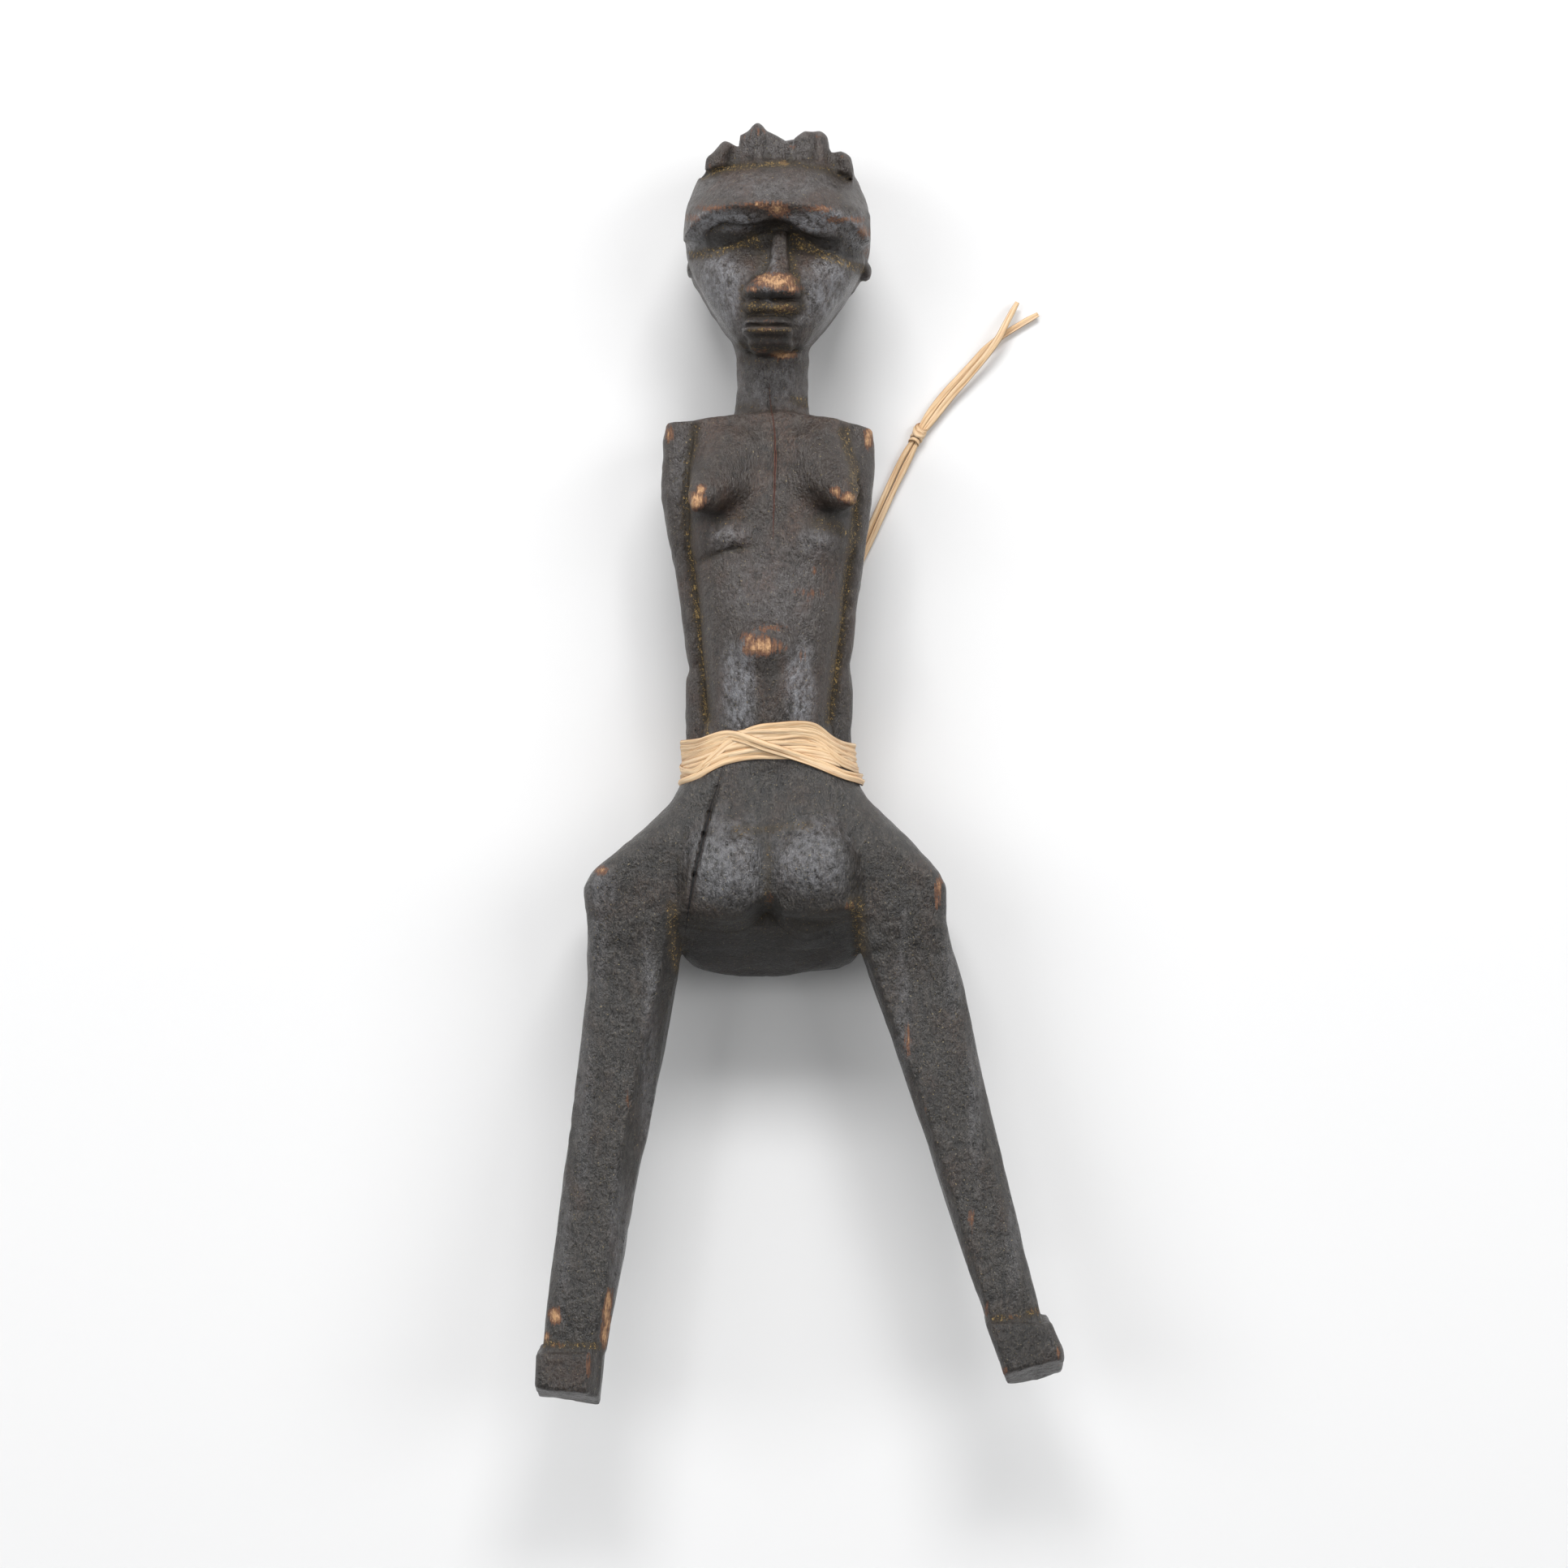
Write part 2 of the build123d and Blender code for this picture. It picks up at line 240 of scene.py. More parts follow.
def ribbon(name, centre, outward, width, thick, seed, roll=0.0, pleats=2.4):
    """A pleated strip of palm leaf along a line of points in mm, its flat face towards outward.

    width and thick are in mm, one value or one for each point.
    """
    centre, outward = np.asarray(centre, float), np.asarray(outward, float)
    count, around = len(centre), 20
    tangent = unit(np.gradient(centre, axis=0))
    side = unit(np.cross(tangent, outward))
    face = np.cross(side, tangent)
    run = np.concatenate(([0], np.cumsum(np.linalg.norm(np.diff(centre, axis=0), axis=1))))
    lean = np.radians(roll + 7 * noise(run, run * 0, run * 0, (7, 9, 9), seed))[:, None]
    side, face = side * np.cos(lean) + face * np.sin(lean), face * np.cos(lean) - side * np.sin(lean)
    width = np.broadcast_to(width, count) * (1 + 0.12 * noise(run, run * 0, run * 0, (5, 9, 9), seed + 1))
    thick = np.broadcast_to(thick, count)
    turn = 2 * pi * np.arange(around) / around
    across, height = np.cos(turn), np.sin(turn)
    drift = 1.3 * noise(run, run * 0, run * 0, (16, 9, 9), seed + 2)[:, None]
    fold = np.cos(2 * pi * pleats * across[None, :] / 2 + drift * 2 + seed)
    crumple = noise(run[:, None] + 0 * across, across * 2 + 0 * run[:, None], 0 * drift + 0 * across,
                    (2.2, 0.5, 9), seed + 3)
    lift = height[None, :] * thick[:, None] / 2 * (1 + 0.34 * fold + 0.25 * crumple)
    points = (centre[:, None, :] + side[:, None, :] * (across[None, :, None] * width[:, None, None] / 2)
              + face[:, None, :] * lift[:, :, None])
    layers = {"fold": 0.5 + 0.4 * fold + 0.15 * crumple, "across": across[None, :] + 0 * drift,
              "along": run[:, None] + 0 * fold + 31.0 * seed}
    return strip_object(name, points, layers)


def joined(name, parts):
    """One object from several, in place."""
    with bpy.context.temp_override(active_object=parts[0], selected_editable_objects=parts):
        bpy.ops.object.join()
    parts[0].name = parts[0].data.name = name
    return parts[0]


def raffia_material():
    s = Shader("raffia")
    fold, across, along = (s.attribute(name) for name in ("fold", "across", "along"))
    place = s.add("CombineXYZ", X=s.times(across, 5.0), Y=s.times(along, 0.22),
                  Z=s.times(fold, 1.5))
    fibre = s.add("TexNoise", out=0, Vector=place, Scale=1.0, Detail=5.0, Roughness=0.6)
    stretch = s.add("CombineXYZ", X=across, Y=s.times(along, 0.06), Z=0.0)
    broad = s.add("TexNoise", out=0, Vector=stretch, Scale=1.0, Detail=2.0)
    color = s.mix(s.ramp(fibre, 0.3, 0.7), rgb("d9b083"), rgb("edcfa6"))
    color = s.mix(s.times(s.ramp(broad, 0.4, 0.7), 0.5), color, rgb("f6dfbf"))
    # painted shade: pleat valleys, where fold is low, are darkened to tan
    color = s.mix(s.times(s.ramp(fold, 0.35, 0.05), 0.6), color, rgb("b98857"))
    color = s.mix(s.times(s.ramp(fibre, 0.66, 0.8), 0.4), color, rgb("b98655"))
    # painted shade: each strip darkens to brown at its edges, as the shadow lines between strands
    rim = s.ramp(s.math("ABSOLUTE", across), 0.80, 0.99)
    color = s.mix(s.times(rim, 0.85), color, rgb("875a35"))
    s.link(s.surface.inputs["Base Color"], color)
    s.link(s.surface.inputs["Roughness"], s.plus(0.45, s.times(fibre, 0.25)))
    s.surface.inputs["Subsurface Weight"].default_value = 0.06
    s.surface.inputs["Subsurface Radius"].default_value = (0.001, 0.0006, 0.0003)
    s.link(s.surface.inputs["Normal"], s.bump(fibre, 0.00012, 0.8))
    return s.material


def nurbs_line(name, points):
    """A smooth line through space, with these points in metres as its control points."""
    curve = bpy.data.curves.new(name, "CURVE")
    curve.dimensions = "3D"
    spline = curve.splines.new("NURBS")
    spline.points.add(len(points) - 1)
    for spot, point in zip(spline.points, points):
        spot.co = (*point, 1)
    spline.order_u = 3
    spline.use_endpoint_u = True
    spline.resolution_u = 24
    line = bpy.data.objects.new(name, curve)
    bpy.context.collection.objects.link(line)
    mesh = bpy.data.meshes.new_from_object(line)
    path = [tuple(v.co) for v in mesh.vertices]
    bpy.data.objects.remove(line)
    bpy.data.curves.remove(curve)
    bpy.data.meshes.remove(mesh)
    return path


def tail(name, route, seed, inward, roll):
    """A free strand, folded flat, pressed inward in mm against its neighbour and gathered at the knot."""
    path = nurbs_line(name + "_line", route)
    spots = np.array(path) / MM
    run = np.concatenate(([0], np.cumsum(np.linalg.norm(np.diff(spots, axis=0), axis=1))))
    left = run[-1] - run
    knot = np.exp(-((np.linalg.norm(spots - KNOT, axis=1) / 3.2) ** 2))
    upward = np.tile([0.0, 0.0, 1.0], (len(spots), 1))
    beside = unit(np.cross(np.gradient(spots, axis=0), upward))
    press = inward * (1 + 1.0 * knot) * np.clip((left - 8) / 8, 0, 1) * np.clip(run / 20, 0, 1)
    spots = spots + beside * press[:, None]
    spread = np.clip((run - 62) / 6, 0, 1) * np.clip((left - 4) / 8, 0, 1)
    width = (1.18 + 0.2 * spread - 0.5 * knot) * np.clip(0.74 + left / 9, 0, 1)
    thick = (0.62 + 0.1 * knot) * np.clip(0.45 + left, 0, 1)
    strip = ribbon(name, spots, upward, width, thick, seed, roll=roll, pleats=1.2)
    return strip, path


def turned_ring(centre, along, radius, lean, seed, width, thick, flat):
    """One turn of ribbon about a strand that runs along a direction, leaning by lean degrees."""
    along = unit(np.array(along, float))
    side = unit(np.cross(along, [0, 0, 1.0]))
    up = np.cross(side, along)
    turn = 2 * pi * np.linspace(0, 1, 46) + 0.4 * seed
    out = np.outer(np.cos(turn), side) + np.outer(np.sin(turn), up) * flat
    spots = np.array(centre) + out * radius + np.outer(np.sin(turn) * np.tan(radians(lean)) * radius, along)
    return ribbon("ring", spots, out, width, thick, seed, pleats=1.0)


raffia = raffia_material()
tail_a, path_a = tail("raffia_tail_a", TAIL_A, 41, 0.3, 8)
tail_b, path_b = tail("raffia_tail_b", TAIL_B, 53, -0.3, -8)
TAIL_SLOPE = (0.5, 0.866, 0.0)
# For each ring of the knot: place from its middle, radius, lean, seed, width, thickness, flatness.
KNOT_RINGS = [
    ((-0.75, -1.3, 0.0), 0.92, 28, 3, 0.7, 0.36, 0.85),
    ((-0.35, -0.6, 0.0), 1.02, 30, 5, 0.75, 0.38, 0.85),
    ((0.05, 0.1, 0.0), 1.06, 26, 9, 0.8, 0.4, 0.85),
    ((0.35, 0.85, 0.05), 1.1, -42, 12, 1.0, 0.42, 0.9),
    ((0.7, 1.35, 0.0), 0.95, -30, 8, 0.8, 0.36, 0.85),
]
knot = joined("raffia_knot", [turned_ring(KNOT + place, TAIL_SLOPE, *rest) for place, *rest in KNOT_RINGS])


def hang(piece, node, material):
    """Hand a finished piece over in place of its CAD node."""
    piece.data.materials.append(material)
    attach(piece, "root")
    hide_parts(node)


hang(tail_a, "tail_strand_a", raffia)
hang(tail_b, "tail_strand_b", raffia)
hang(knot, "tail_knot", raffia)


# ---------------------------------------------------------------- carving tools
def soft_min(a, b, blend):
    """The smaller of two distances, rounded over blend where they meet."""
    share = np.clip(0.5 + 0.5 * (b - a) / blend, 0, 1)
    return b + (a - b) * share - blend * share * (1 - share)


def soft_max(a, b, blend):
    return -soft_min(-a, -b, blend)


class Clay:
    """A block of signed distances, in millimetres, that shapes are joined to and cut from."""

    def __init__(self, low, high, step):
        self.low, self.step = np.array(low, np.float32), step
        counts = [int((high[i] - low[i]) / step) + 2 for i in range(3)]
        self.axes = [low[i] + step * np.arange(counts[i], dtype=np.float32) for i in range(3)]
        self.field = np.full(counts, 10, np.float32)

    def window(self, low, high):
        part = []
        for i in range(3):
            first = max(0, int((low[i] - self.low[i]) / self.step))
            last = max(first + 1, int((high[i] - self.low[i]) / self.step) + 2)
            part.append(slice(first, last))
        x, y, z = (self.axes[i][part[i]] for i in range(3))
        return tuple(part), x[:, None, None], y[None, :, None], z[None, None, :]

    def join(self, shape, low, high, blend):
        part, x, y, z = self.window(low, high)
        self.field[part] = soft_min(self.field[part], shape(x, y, z), blend)

    def cut(self, shape, low, high, blend):
        part, x, y, z = self.window(low, high)
        self.field[part] = soft_max(self.field[part], -shape(x, y, z), blend)

    def join_near(self, shape, centre, reach, blend):
        centre = np.array(centre)
        self.join(shape, centre - reach, centre + reach, blend)

    def cut_near(self, shape, centre, reach, blend):
        centre = np.array(centre)
        self.cut(shape, centre - reach, centre + reach, blend)

    def dent(self, line, radius, depth, low_z=-5.0, high_z=60.0, sharp=1.0):
        """Press in (or, with a negative depth, raise) the surface along a line seen from the front."""
        points = np.array(line, np.float32)
        low = [points[:, 0].min() - radius, points[:, 1].min() - radius, low_z]
        high = [points[:, 0].max() + radius, points[:, 1].max() + radius, high_z]
        part, x, y, z = self.window([v - 2 for v in low], [v + 2 for v in high])
        x, y = seen(x, y, z)
        away = np.float32(99)
        for a, b in zip(points, points[1:]):
            along = b - a
            t = ((x - a[0]) * along[0] + (y - a[1]) * along[1]) / max(float(along @ along), 1e-6)
            t = np.clip(t, 0, 1)
            away = np.minimum(away, np.hypot(x - a[0] - t * along[0], y - a[1] - t * along[1]))
        press = depth * np.clip((1 - (away / radius) ** 2) * sharp, 0, 1) ** 2
        self.field[part] += press

    def sample(self, field, points):
        """The field's value at each point, from the eight samples round it."""
        place = (points - self.low) / self.step
        whole = np.clip(np.floor(place).astype(int), 0, np.array(field.shape) - 2)
        part = place - whole
        total = 0
        for corner in range(8):
            bits = np.array([(corner >> axis) & 1 for axis in range(3)])
            weight = np.prod(np.where(bits, part, 1 - part), axis=1)
            i, j, k = (whole + bits).T
            total = total + weight * field[i, j, k]
        return total


def seen(x, y, z):
    """Where a spot shows on the level 25 mm up, which the painted and dented places below are given on."""
    near = 681.4 / (706.4 - z)
    return (x + 2.84) * near - 2.84, (y + 3.7) * near - 3.7


def bar(stations, ends=2.0, left_drop=1.0, right_drop=1.0):
    """A bar along Y with a rounded rectangular section and two sloping front edges.

    Each station gives y, left, right, back, front and corner radius, and then how wide the left
    and right front bevels are; a bevel's drop is its width times left_drop or right_drop.
    """
    rows = [list(s) + [0] * (8 - len(s)) for s in sorted(stations)]
    table = np.array(rows, np.float32).T
    ys = table[0]

    def shape(x, y, z):
        left, right, back, front, corner, left_bevel, right_bevel = (smooth(y, ys, v) for v in table[1:])
        qx = np.abs(x - (left + right) / 2) - (right - left) / 2 + corner
        qz = np.abs(z - (back + front) / 2) - (front - back) / 2 + corner
        result = np.hypot(np.maximum(qx, 0), np.maximum(qz, 0)) + np.minimum(np.maximum(qx, qz), 0) - corner
        if left_bevel.any():
            slope = ((left + left_bevel - x) * left_drop + z - front) / np.hypot(left_drop, 1)
            result = soft_max(result, slope, 0.5)
        if right_bevel.any():
            slope = ((x - right + right_bevel) * right_drop + z - front) / np.hypot(right_drop, 1)
            result = soft_max(result, slope, 0.5)
        return soft_max(result, np.maximum(ys[0] - y, y - ys[-1]), ends)

    return shape


def egg(centre, radii, turn=0.0):
    """An ellipsoid, turned about Z by turn degrees."""
    c, s = cos(radians(turn)), sin(radians(turn))

    def shape(x, y, z):
        px, py, pz = x - centre[0], y - centre[1], z - centre[2]
        u, v = (c * px + s * py) / radii[0], (c * py - s * px) / radii[1]
        w = pz / radii[2]
        near = np.sqrt(u * u + v * v + w * w) + 1e-6
        steep = np.sqrt((u / radii[0]) ** 2 + (v / radii[1]) ** 2 + (w / radii[2]) ** 2) + 1e-6
        return near * (near - 1) / steep

    return shape


def horn(start, end, start_radius, end_radius):
    """A round bar that tapers from one point to another, with round ends."""
    a, b = np.array(start, np.float32), np.array(end, np.float32)
    along = b - a
    length2 = float(along @ along)

    def shape(x, y, z):
        px, py, pz = x - a[0], y - a[1], z - a[2]
        t = np.clip((px * along[0] + py * along[1] + pz * along[2]) / length2, 0, 1)
        gap = np.sqrt((px - t * along[0]) ** 2 + (py - t * along[1]) ** 2 + (pz - t * along[2]) ** 2)
        return gap - (start_radius + (end_radius - start_radius) * t)

    return shape


def plane(point, normal):
    """Everything behind a flat face: negative on the side that normal points away from."""
    n = np.array(normal, np.float32)
    n = n / np.linalg.norm(n)

    def shape(x, y, z):
        return (x - point[0]) * n[0] + (y - point[1]) * n[1] + (z - point[2]) * n[2]

    return shape


def slab(outline, back, front, corner):
    """A slab with the given outline seen from the front, its front and back edges rounded."""
    corners = np.array(outline, np.float32)

    def shape(x, y, z):
        away, inside = np.float32(1e6), 1.0
        for a, b in zip(corners, np.roll(corners, -1, axis=0)):
            along = b - a
            t = np.clip(((x - a[0]) * along[0] + (y - a[1]) * along[1]) / float(along @ along), 0, 1)
            away = np.minimum(away, np.hypot(x - a[0] - t * along[0], y - a[1] - t * along[1]))
            slope = along[0] / along[1] if along[1] else 0
            crossed = ((a[1] > y) != (b[1] > y)) & (x < a[0] + (y - a[1]) * slope)
            inside = inside * np.where(crossed, -1.0, 1.0)
        flat = (away * inside).astype(np.float32) + corner
        deep = np.abs(z - (back + front) / 2) - (front - back) / 2 + corner
        outside = np.hypot(np.maximum(flat, 0), np.maximum(deep, 0))
        return outside + np.minimum(np.maximum(flat, deep), 0) - corner

    return shape


def groove(points, radius, reach=6.0):
    """A round groove along a chain of points, with the box that holds it."""
    parts = [horn(a, b, radius, radius) for a, b in zip(points, points[1:])]

    def shape(x, y, z):
        result = parts[0](x, y, z)
        for part in parts[1:]:
            result = np.minimum(result, part(x, y, z))
        return result

    low, high = np.min(points, axis=0) - reach, np.max(points, axis=0) + reach
    return shape, low, high


# ---------------------------------------------------------------- the carving
# The trunk's stations, from the shoulders to below the waist, and the arms against its sides.
TRUNK = [
    (66.9, -21.5, 10.6, 12.0, 25.0, 4.0),
    (58.0, -20.4, 9.8, 9.8, 28.2, 6.5),
    (50.0, -20.8, 10.6, 9.0, 30.4, 7.5),
    (43.0, -20.9, 10.7, 9.0, 30.8, 8.0),
    (37.0, -20.0, 9.4, 9.2, 31.2, 9.0),
    (27.0, -18.6, 8.2, 9.6, 32.2, 9.5),
    (18.0, -17.9, 6.9, 10.0, 32.6, 9.5),
    (8.0, -17.4, 5.9, 10.3, 31.4, 8.5),
    (0.0, -19.4, 8.0, 10.4, 31.0, 7.5),
    (-6.0, -22.0, 11.0, 9.0, 31.5, 7.0),
]
LEFT_ARM = [
    (66.4, -24.0, -12.0, 11.5, 23.2, 3.0),
    (59.5, -25.2, -12.0, 10.2, 23.8, 3.4),
    (50.5, -25.4, -12.0, 10.0, 24.4, 3.6),
    (44.0, -24.6, -12.0, 10.2, 24.4, 3.6),
    (36.0, -22.9, -12.0, 10.6, 23.8, 3.4),
    (27.0, -21.7, -12.0, 11.0, 23.4, 3.2),
    (19.4, -20.6, -12.0, 11.4, 23.0, 3.0),
    (17.6, -20.3, -12.0, 11.5, 22.6, 2.6),
    (15.6, -20.8, -12.0, 11.4, 23.0, 3.0),
    (5.0, -21.0, -12.0, 11.4, 22.8, 3.0),
    (-4.0, -21.1, -12.0, 11.0, 22.8, 3.0),
]
RIGHT_ARM = [
    (66.0, 2.0, 13.0, 11.5, 23.2, 3.0),
    (57.0, 2.0, 13.8, 10.2, 23.8, 3.4),
    (48.0, 2.0, 13.2, 10.0, 24.4, 3.6),
    (36.0, 2.0, 11.6, 10.6, 23.8, 3.4),
    (27.0, 2.0, 10.6, 11.0, 23.4, 3.2),
    (21.0, 2.0, 10.0, 11.4, 23.0, 3.0),
    (18.0, 2.0, 9.5, 11.5, 22.6, 2.6),
    (15.0, 2.0, 9.7, 11.4, 23.0, 3.0),
    (5.0, 2.0, 9.5, 11.4, 22.8, 3.0),
    (-4.0, 2.0, 10.4, 11.0, 22.8, 3.0),
]
HIPS = [
    (0.0, -19.0, 8.5, 12.0, 29.0, 6.5),
    (-6.0, -22.8, 12.3, 10.6, 30.6, 6.5),
    (-11.0, -27.6, 17.2, 9.8, 31.8, 6.0),
    (-16.0, -33.4, 22.2, 9.4, 32.2, 5.0),
    (-20.0, -38.0, 25.6, 9.6, 32.2, 3.8),
    (-23.0, -39.5, 26.7, 10.4, 32.0, 3.2),
    (-28.0, -38.8, 26.4, 11.6, 31.6, 2.8),
    (-34.0, -38.4, 27.4, 13.4, 30.8, 2.4),
]
PELVIS = [
    (2.0, -17.0, 6.0, 10.6, 30.6, 6.5),
    (-6.0, -19.8, 8.2, 8.4, 32.4, 7.5),
    (-13.0, -21.0, 9.8, 5.8, 34.4, 7.0),
    (-20.5, -21.8, 11.0, 3.6, 36.0, 6.0),
    (-27.6, -21.8, 11.4, 3.0, 35.6, 4.0),
]
UNDERSIDE = [
    (-18.0, -21.8, 10.6, 3.2, 28.0, 6.0),
    (-27.0, -22.6, 11.2, 2.8, 30.6, 4.0),
    (-31.0, -22.4, 10.8, 3.4, 26.4, 5.5),
    (-34.6, -21.6, 8.8, 4.8, 21.8, 6.0),
    (-36.6, -20.6, 6.6, 6.0, 18.2, 5.0),
    (-38.4, -18.6, 3.0, 8.0, 15.0, 3.2),
    (-40.0, -12.0, -3.0, 10.0, 13.4, 1.5),
]
NECK = [
    (60.0, -12.8, 2.6, 10.2, 24.2, 6.4),
    (66.0, -12.0, 1.9, 10.5, 23.8, 6.0),
    (74.0, -11.6, 1.6, 10.5, 24.0, 5.8),
    (82.0, -11.8, 1.8, 10.0, 26.0, 5.8),
]
# Below the brow the face is flatter than the cranium above it.
FACE = [
    (76.2, -10.6, 0.8, 13.5, 30.6, 4.2),
    (77.8, -11.8, 2.0, 10.4, 32.4, 5.0),
    (82.6, -15.4, 5.9, 6.2, 33.4, 7.0),
    (87.8, -18.5, 9.7, 2.8, 33.4, 9.0),
    (90.6, -19.9, 11.5, 1.2, 32.8, 10.0),
    (93.2, -20.5, 12.3, 0.8, 30.8, 10.0),
    (101.0, -19.6, 11.4, 1.0, 29.6, 10.0),
]
CRANIUM = [
    (86.0, -17.4, 9.0, 3.4, 32.4, 10.0),
    (90.4, -19.6, 11.3, 1.4, 34.6, 11.0),
    (93.0, -20.6, 12.4, 0.6, 35.6, 13.0),
    (97.6, -21.3, 13.2, 0.1, 37.4, 13.0),
    (100.6, -21.1, 13.0, 0.2, 37.8, 13.6),
    (103.4, -20.6, 12.4, 1.0, 36.0, 15.0),
    (106.4, -19.6, 11.4, 2.8, 33.4, 14.5),
    (109.6, -17.6, 9.4, 5.6, 30.0, 11.0),
    (111.6, -14.0, 6.0, 9.0, 26.0, 8.0),
]
# Across the face: where the brow's lower edge, the eye slit below it and the ridge above it lie.
BROW_X = [-21.4, -18.6, -16.1, -13.1, -10.0, -7.3, -4.9, -2.1, 0.6, 4.3, 8.9, 11.9, 13.4]
BROW_EDGE = [93.2, 95.2, 97.3, 98.4, 98.2, 98.5, 98.8, 98.4, 96.7, 95.6, 94.7, 92.3, 91.2]
BROW_SLIT = [92.6, 93.2, 93.8, 94.6, 95.5, 96.5, 97.2, 97.0, 95.8, 93.8, 92.0, 91.2, 90.6]
BROW_RIDGE = [96.2, 99.0, 100.2, 100.8, 101.0, 101.2, 101.4, 101.3, 100.9, 100.0, 98.4, 96.4, 95.0]
NOSE = [
    (97.2, -4.8, -2.3, 27.0, 32.0, 0.9),
    (94.0, -5.0, -2.3, 27.0, 34.0, 1.0),
    (90.6, -5.4, -2.1, 27.0, 35.8, 1.2),
    (89.0, -6.2, -1.8, 28.0, 36.8, 1.6),
    (87.9, -8.4, -0.6, 28.0, 37.6, 2.4),
    (86.6, -9.8, -0.1, 28.0, 38.4, 3.0),
    (85.2, -10.1, 0.1, 28.0, 38.6, 3.0),
    (84.4, -10.1, 0.1, 28.0, 37.6, 3.0),
]
MUZZLE = [
    (85.4, -9.0, -0.6, 26.0, 33.4, 2.4),
    (84.4, -9.2, -0.5, 26.0, 33.8, 2.0),
    (83.8, -10.0, 0.0, 26.0, 35.9, 2.4),
    (82.9, -9.9, -0.1, 26.0, 36.5, 2.6),
    (82.0, -9.5, -0.4, 26.0, 35.7, 2.4),
    (81.5, -9.0, -1.0, 26.0, 34.3, 2.2),
    (80.8, -9.6, -1.7, 26.0, 35.2, 1.8),
    (79.9, -10.1, -1.4, 26.0, 36.1, 1.6),
    (79.4, -9.8, -1.7, 26.0, 34.6, 1.6),
    (78.9, -10.3, -1.2, 26.0, 36.6, 2.0),
    (78.2, -10.1, -1.3, 26.0, 36.7, 2.0),
    (77.6, -9.2, -1.6, 26.0, 34.6, 2.0),
    (76.1, -9.0, -1.2, 25.0, 34.0, 2.2),
    (75.3, -8.4, -1.4, 24.0, 31.0, 2.2),
]
# The legs' stations also give the widths of the left and right front bevels.
LEFT_LEG = [
    (-24.0, -38.8, -20.0, 11.8, 31.4, 2.4, 1.0, 2.0),
    (-31.0, -38.7, -21.4, 12.6, 31.0, 2.2, 1.2, 2.6),
    (-38.7, -38.7, -22.4, 13.6, 30.8, 2.0, 1.5, 3.0),
    (-50.0, -39.8, -24.7, 15.4, 31.2, 1.8, 1.8, 3.6),
    (-64.0, -41.6, -27.2, 17.6, 32.2, 1.7, 2.0, 4.0),
    (-78.0, -43.4, -30.2, 19.6, 33.2, 1.6, 2.0, 3.2),
    (-92.0, -45.2, -32.4, 21.6, 34.4, 1.5, 1.8, 2.4),
    (-100.0, -46.2, -34.1, 22.8, 35.0, 1.4, 1.5, 2.2),
    (-103.6, -46.5, -34.8, 23.4, 35.0, 1.4, 1.4, 2.2),
    (-107.6, -47.0, -35.4, 24.0, 35.2, 1.4, 1.4, 2.2),
]
LEFT_FOOT = [
    (-106.9, -47.8, -35.6, 23.4, 36.2, 1.0, 0.6, 2.6),
    (-122.0, -48.4, -37.0, 25.8, 37.8, 1.0, 0.6, 2.4),
]
RIGHT_LEG = [
    (-22.0, 9.6, 26.4, 11.4, 31.4, 2.4, 1.0, 1.0),
    (-30.0, 10.4, 26.9, 12.2, 31.0, 2.2, 1.0, 1.2),
    (-40.0, 13.4, 29.8, 13.4, 30.8, 2.0, 1.2, 1.6),
    (-52.0, 17.7, 32.5, 15.2, 31.4, 1.8, 1.4, 2.0),
    (-66.0, 22.4, 35.6, 17.4, 32.2, 1.7, 1.6, 2.2),
    (-80.0, 26.8, 38.8, 19.6, 33.2, 1.6, 1.6, 2.2),
    (-92.0, 30.8, 42.0, 21.4, 34.2, 1.5, 1.4, 2.0),
    (-99.0, 33.3, 43.8, 22.6, 34.6, 1.4, 1.2, 1.6),
    (-103.4, 34.8, 45.0, 23.4, 34.8, 1.4, 1.2, 1.6),
]
RIGHT_FOOT = [
    (-101.4, 33.8, 45.8, 22.8, 35.6, 1.2, 1.0, 1.2),
    (-107.0, 35.8, 48.0, 23.6, 36.2, 1.2, 1.0, 1.2),
    (-112.0, 37.5, 48.2, 24.6, 36.8, 1.2, 1.0, 1.2),
    (-118.0, 38.9, 48.2, 25.6, 37.4, 1.2, 1.0, 1.2),
]
# The crest: its outline at the front and behind, and the valleys between its lobes.
CREST_FRONT = [
    (-17.0, 104.0), (-17.7, 108.1), (-17.0, 111.5), (-13.7, 114.4), (-11.2, 114.0), (-11.1, 115.6),
    (-7.7, 117.6), (-4.2, 115.4), (-1.9, 113.8), (-1.1, 113.9), (-0.8, 114.8), (1.0, 116.1), (3.6, 116.1),
    (5.1, 115.0), (5.8, 112.9), (7.5, 112.7), (9.4, 111.3), (9.9, 109.0), (9.8, 104.0),
]
CREST_BACK = [
    (-16.4, 104.0), (-16.2, 110.0), (-14.6, 113.0), (-11.0, 114.2), (-7.6, 115.8), (-4.6, 115.2),
    (-0.4, 115.4),
    (3.4, 115.0), (6.4, 112.8), (8.4, 111.0), (8.8, 104.0),
]
VALLEYS = [
    [(-11.3, 112.8), (-11.6, 111.4), (-12.4, 110.4)],
    [(-1.5, 113.0), (-1.5, 111.6)],
    [(5.9, 112.2), (6.4, 110.6)],
]
RIDGES = [[(-13.8, 113.6), (-14.8, 110.6)], [(-7.7, 117.0), (-7.6, 111.4)], [(4.0, 115.4), (3.8, 111.0)],
          [(8.2, 111.4), (8.6, 109.6)]]
CREST_GROOVE = [(-17.6, 108.2), (-15.4, 109.2), (-9.0, 110.0), (-2.2, 110.5), (4.0, 109.7), (9.0, 107.6)]
LEFT_SOLE = (-42.2, -117.45, 25.1)
RIGHT_SOLE = (42.6, -113.6, 24.4)
LEFT_SOLE_FACES = (-0.12, -0.94, 0.32)
RIGHT_SOLE_FACES = (0.23, -0.91, 0.34)


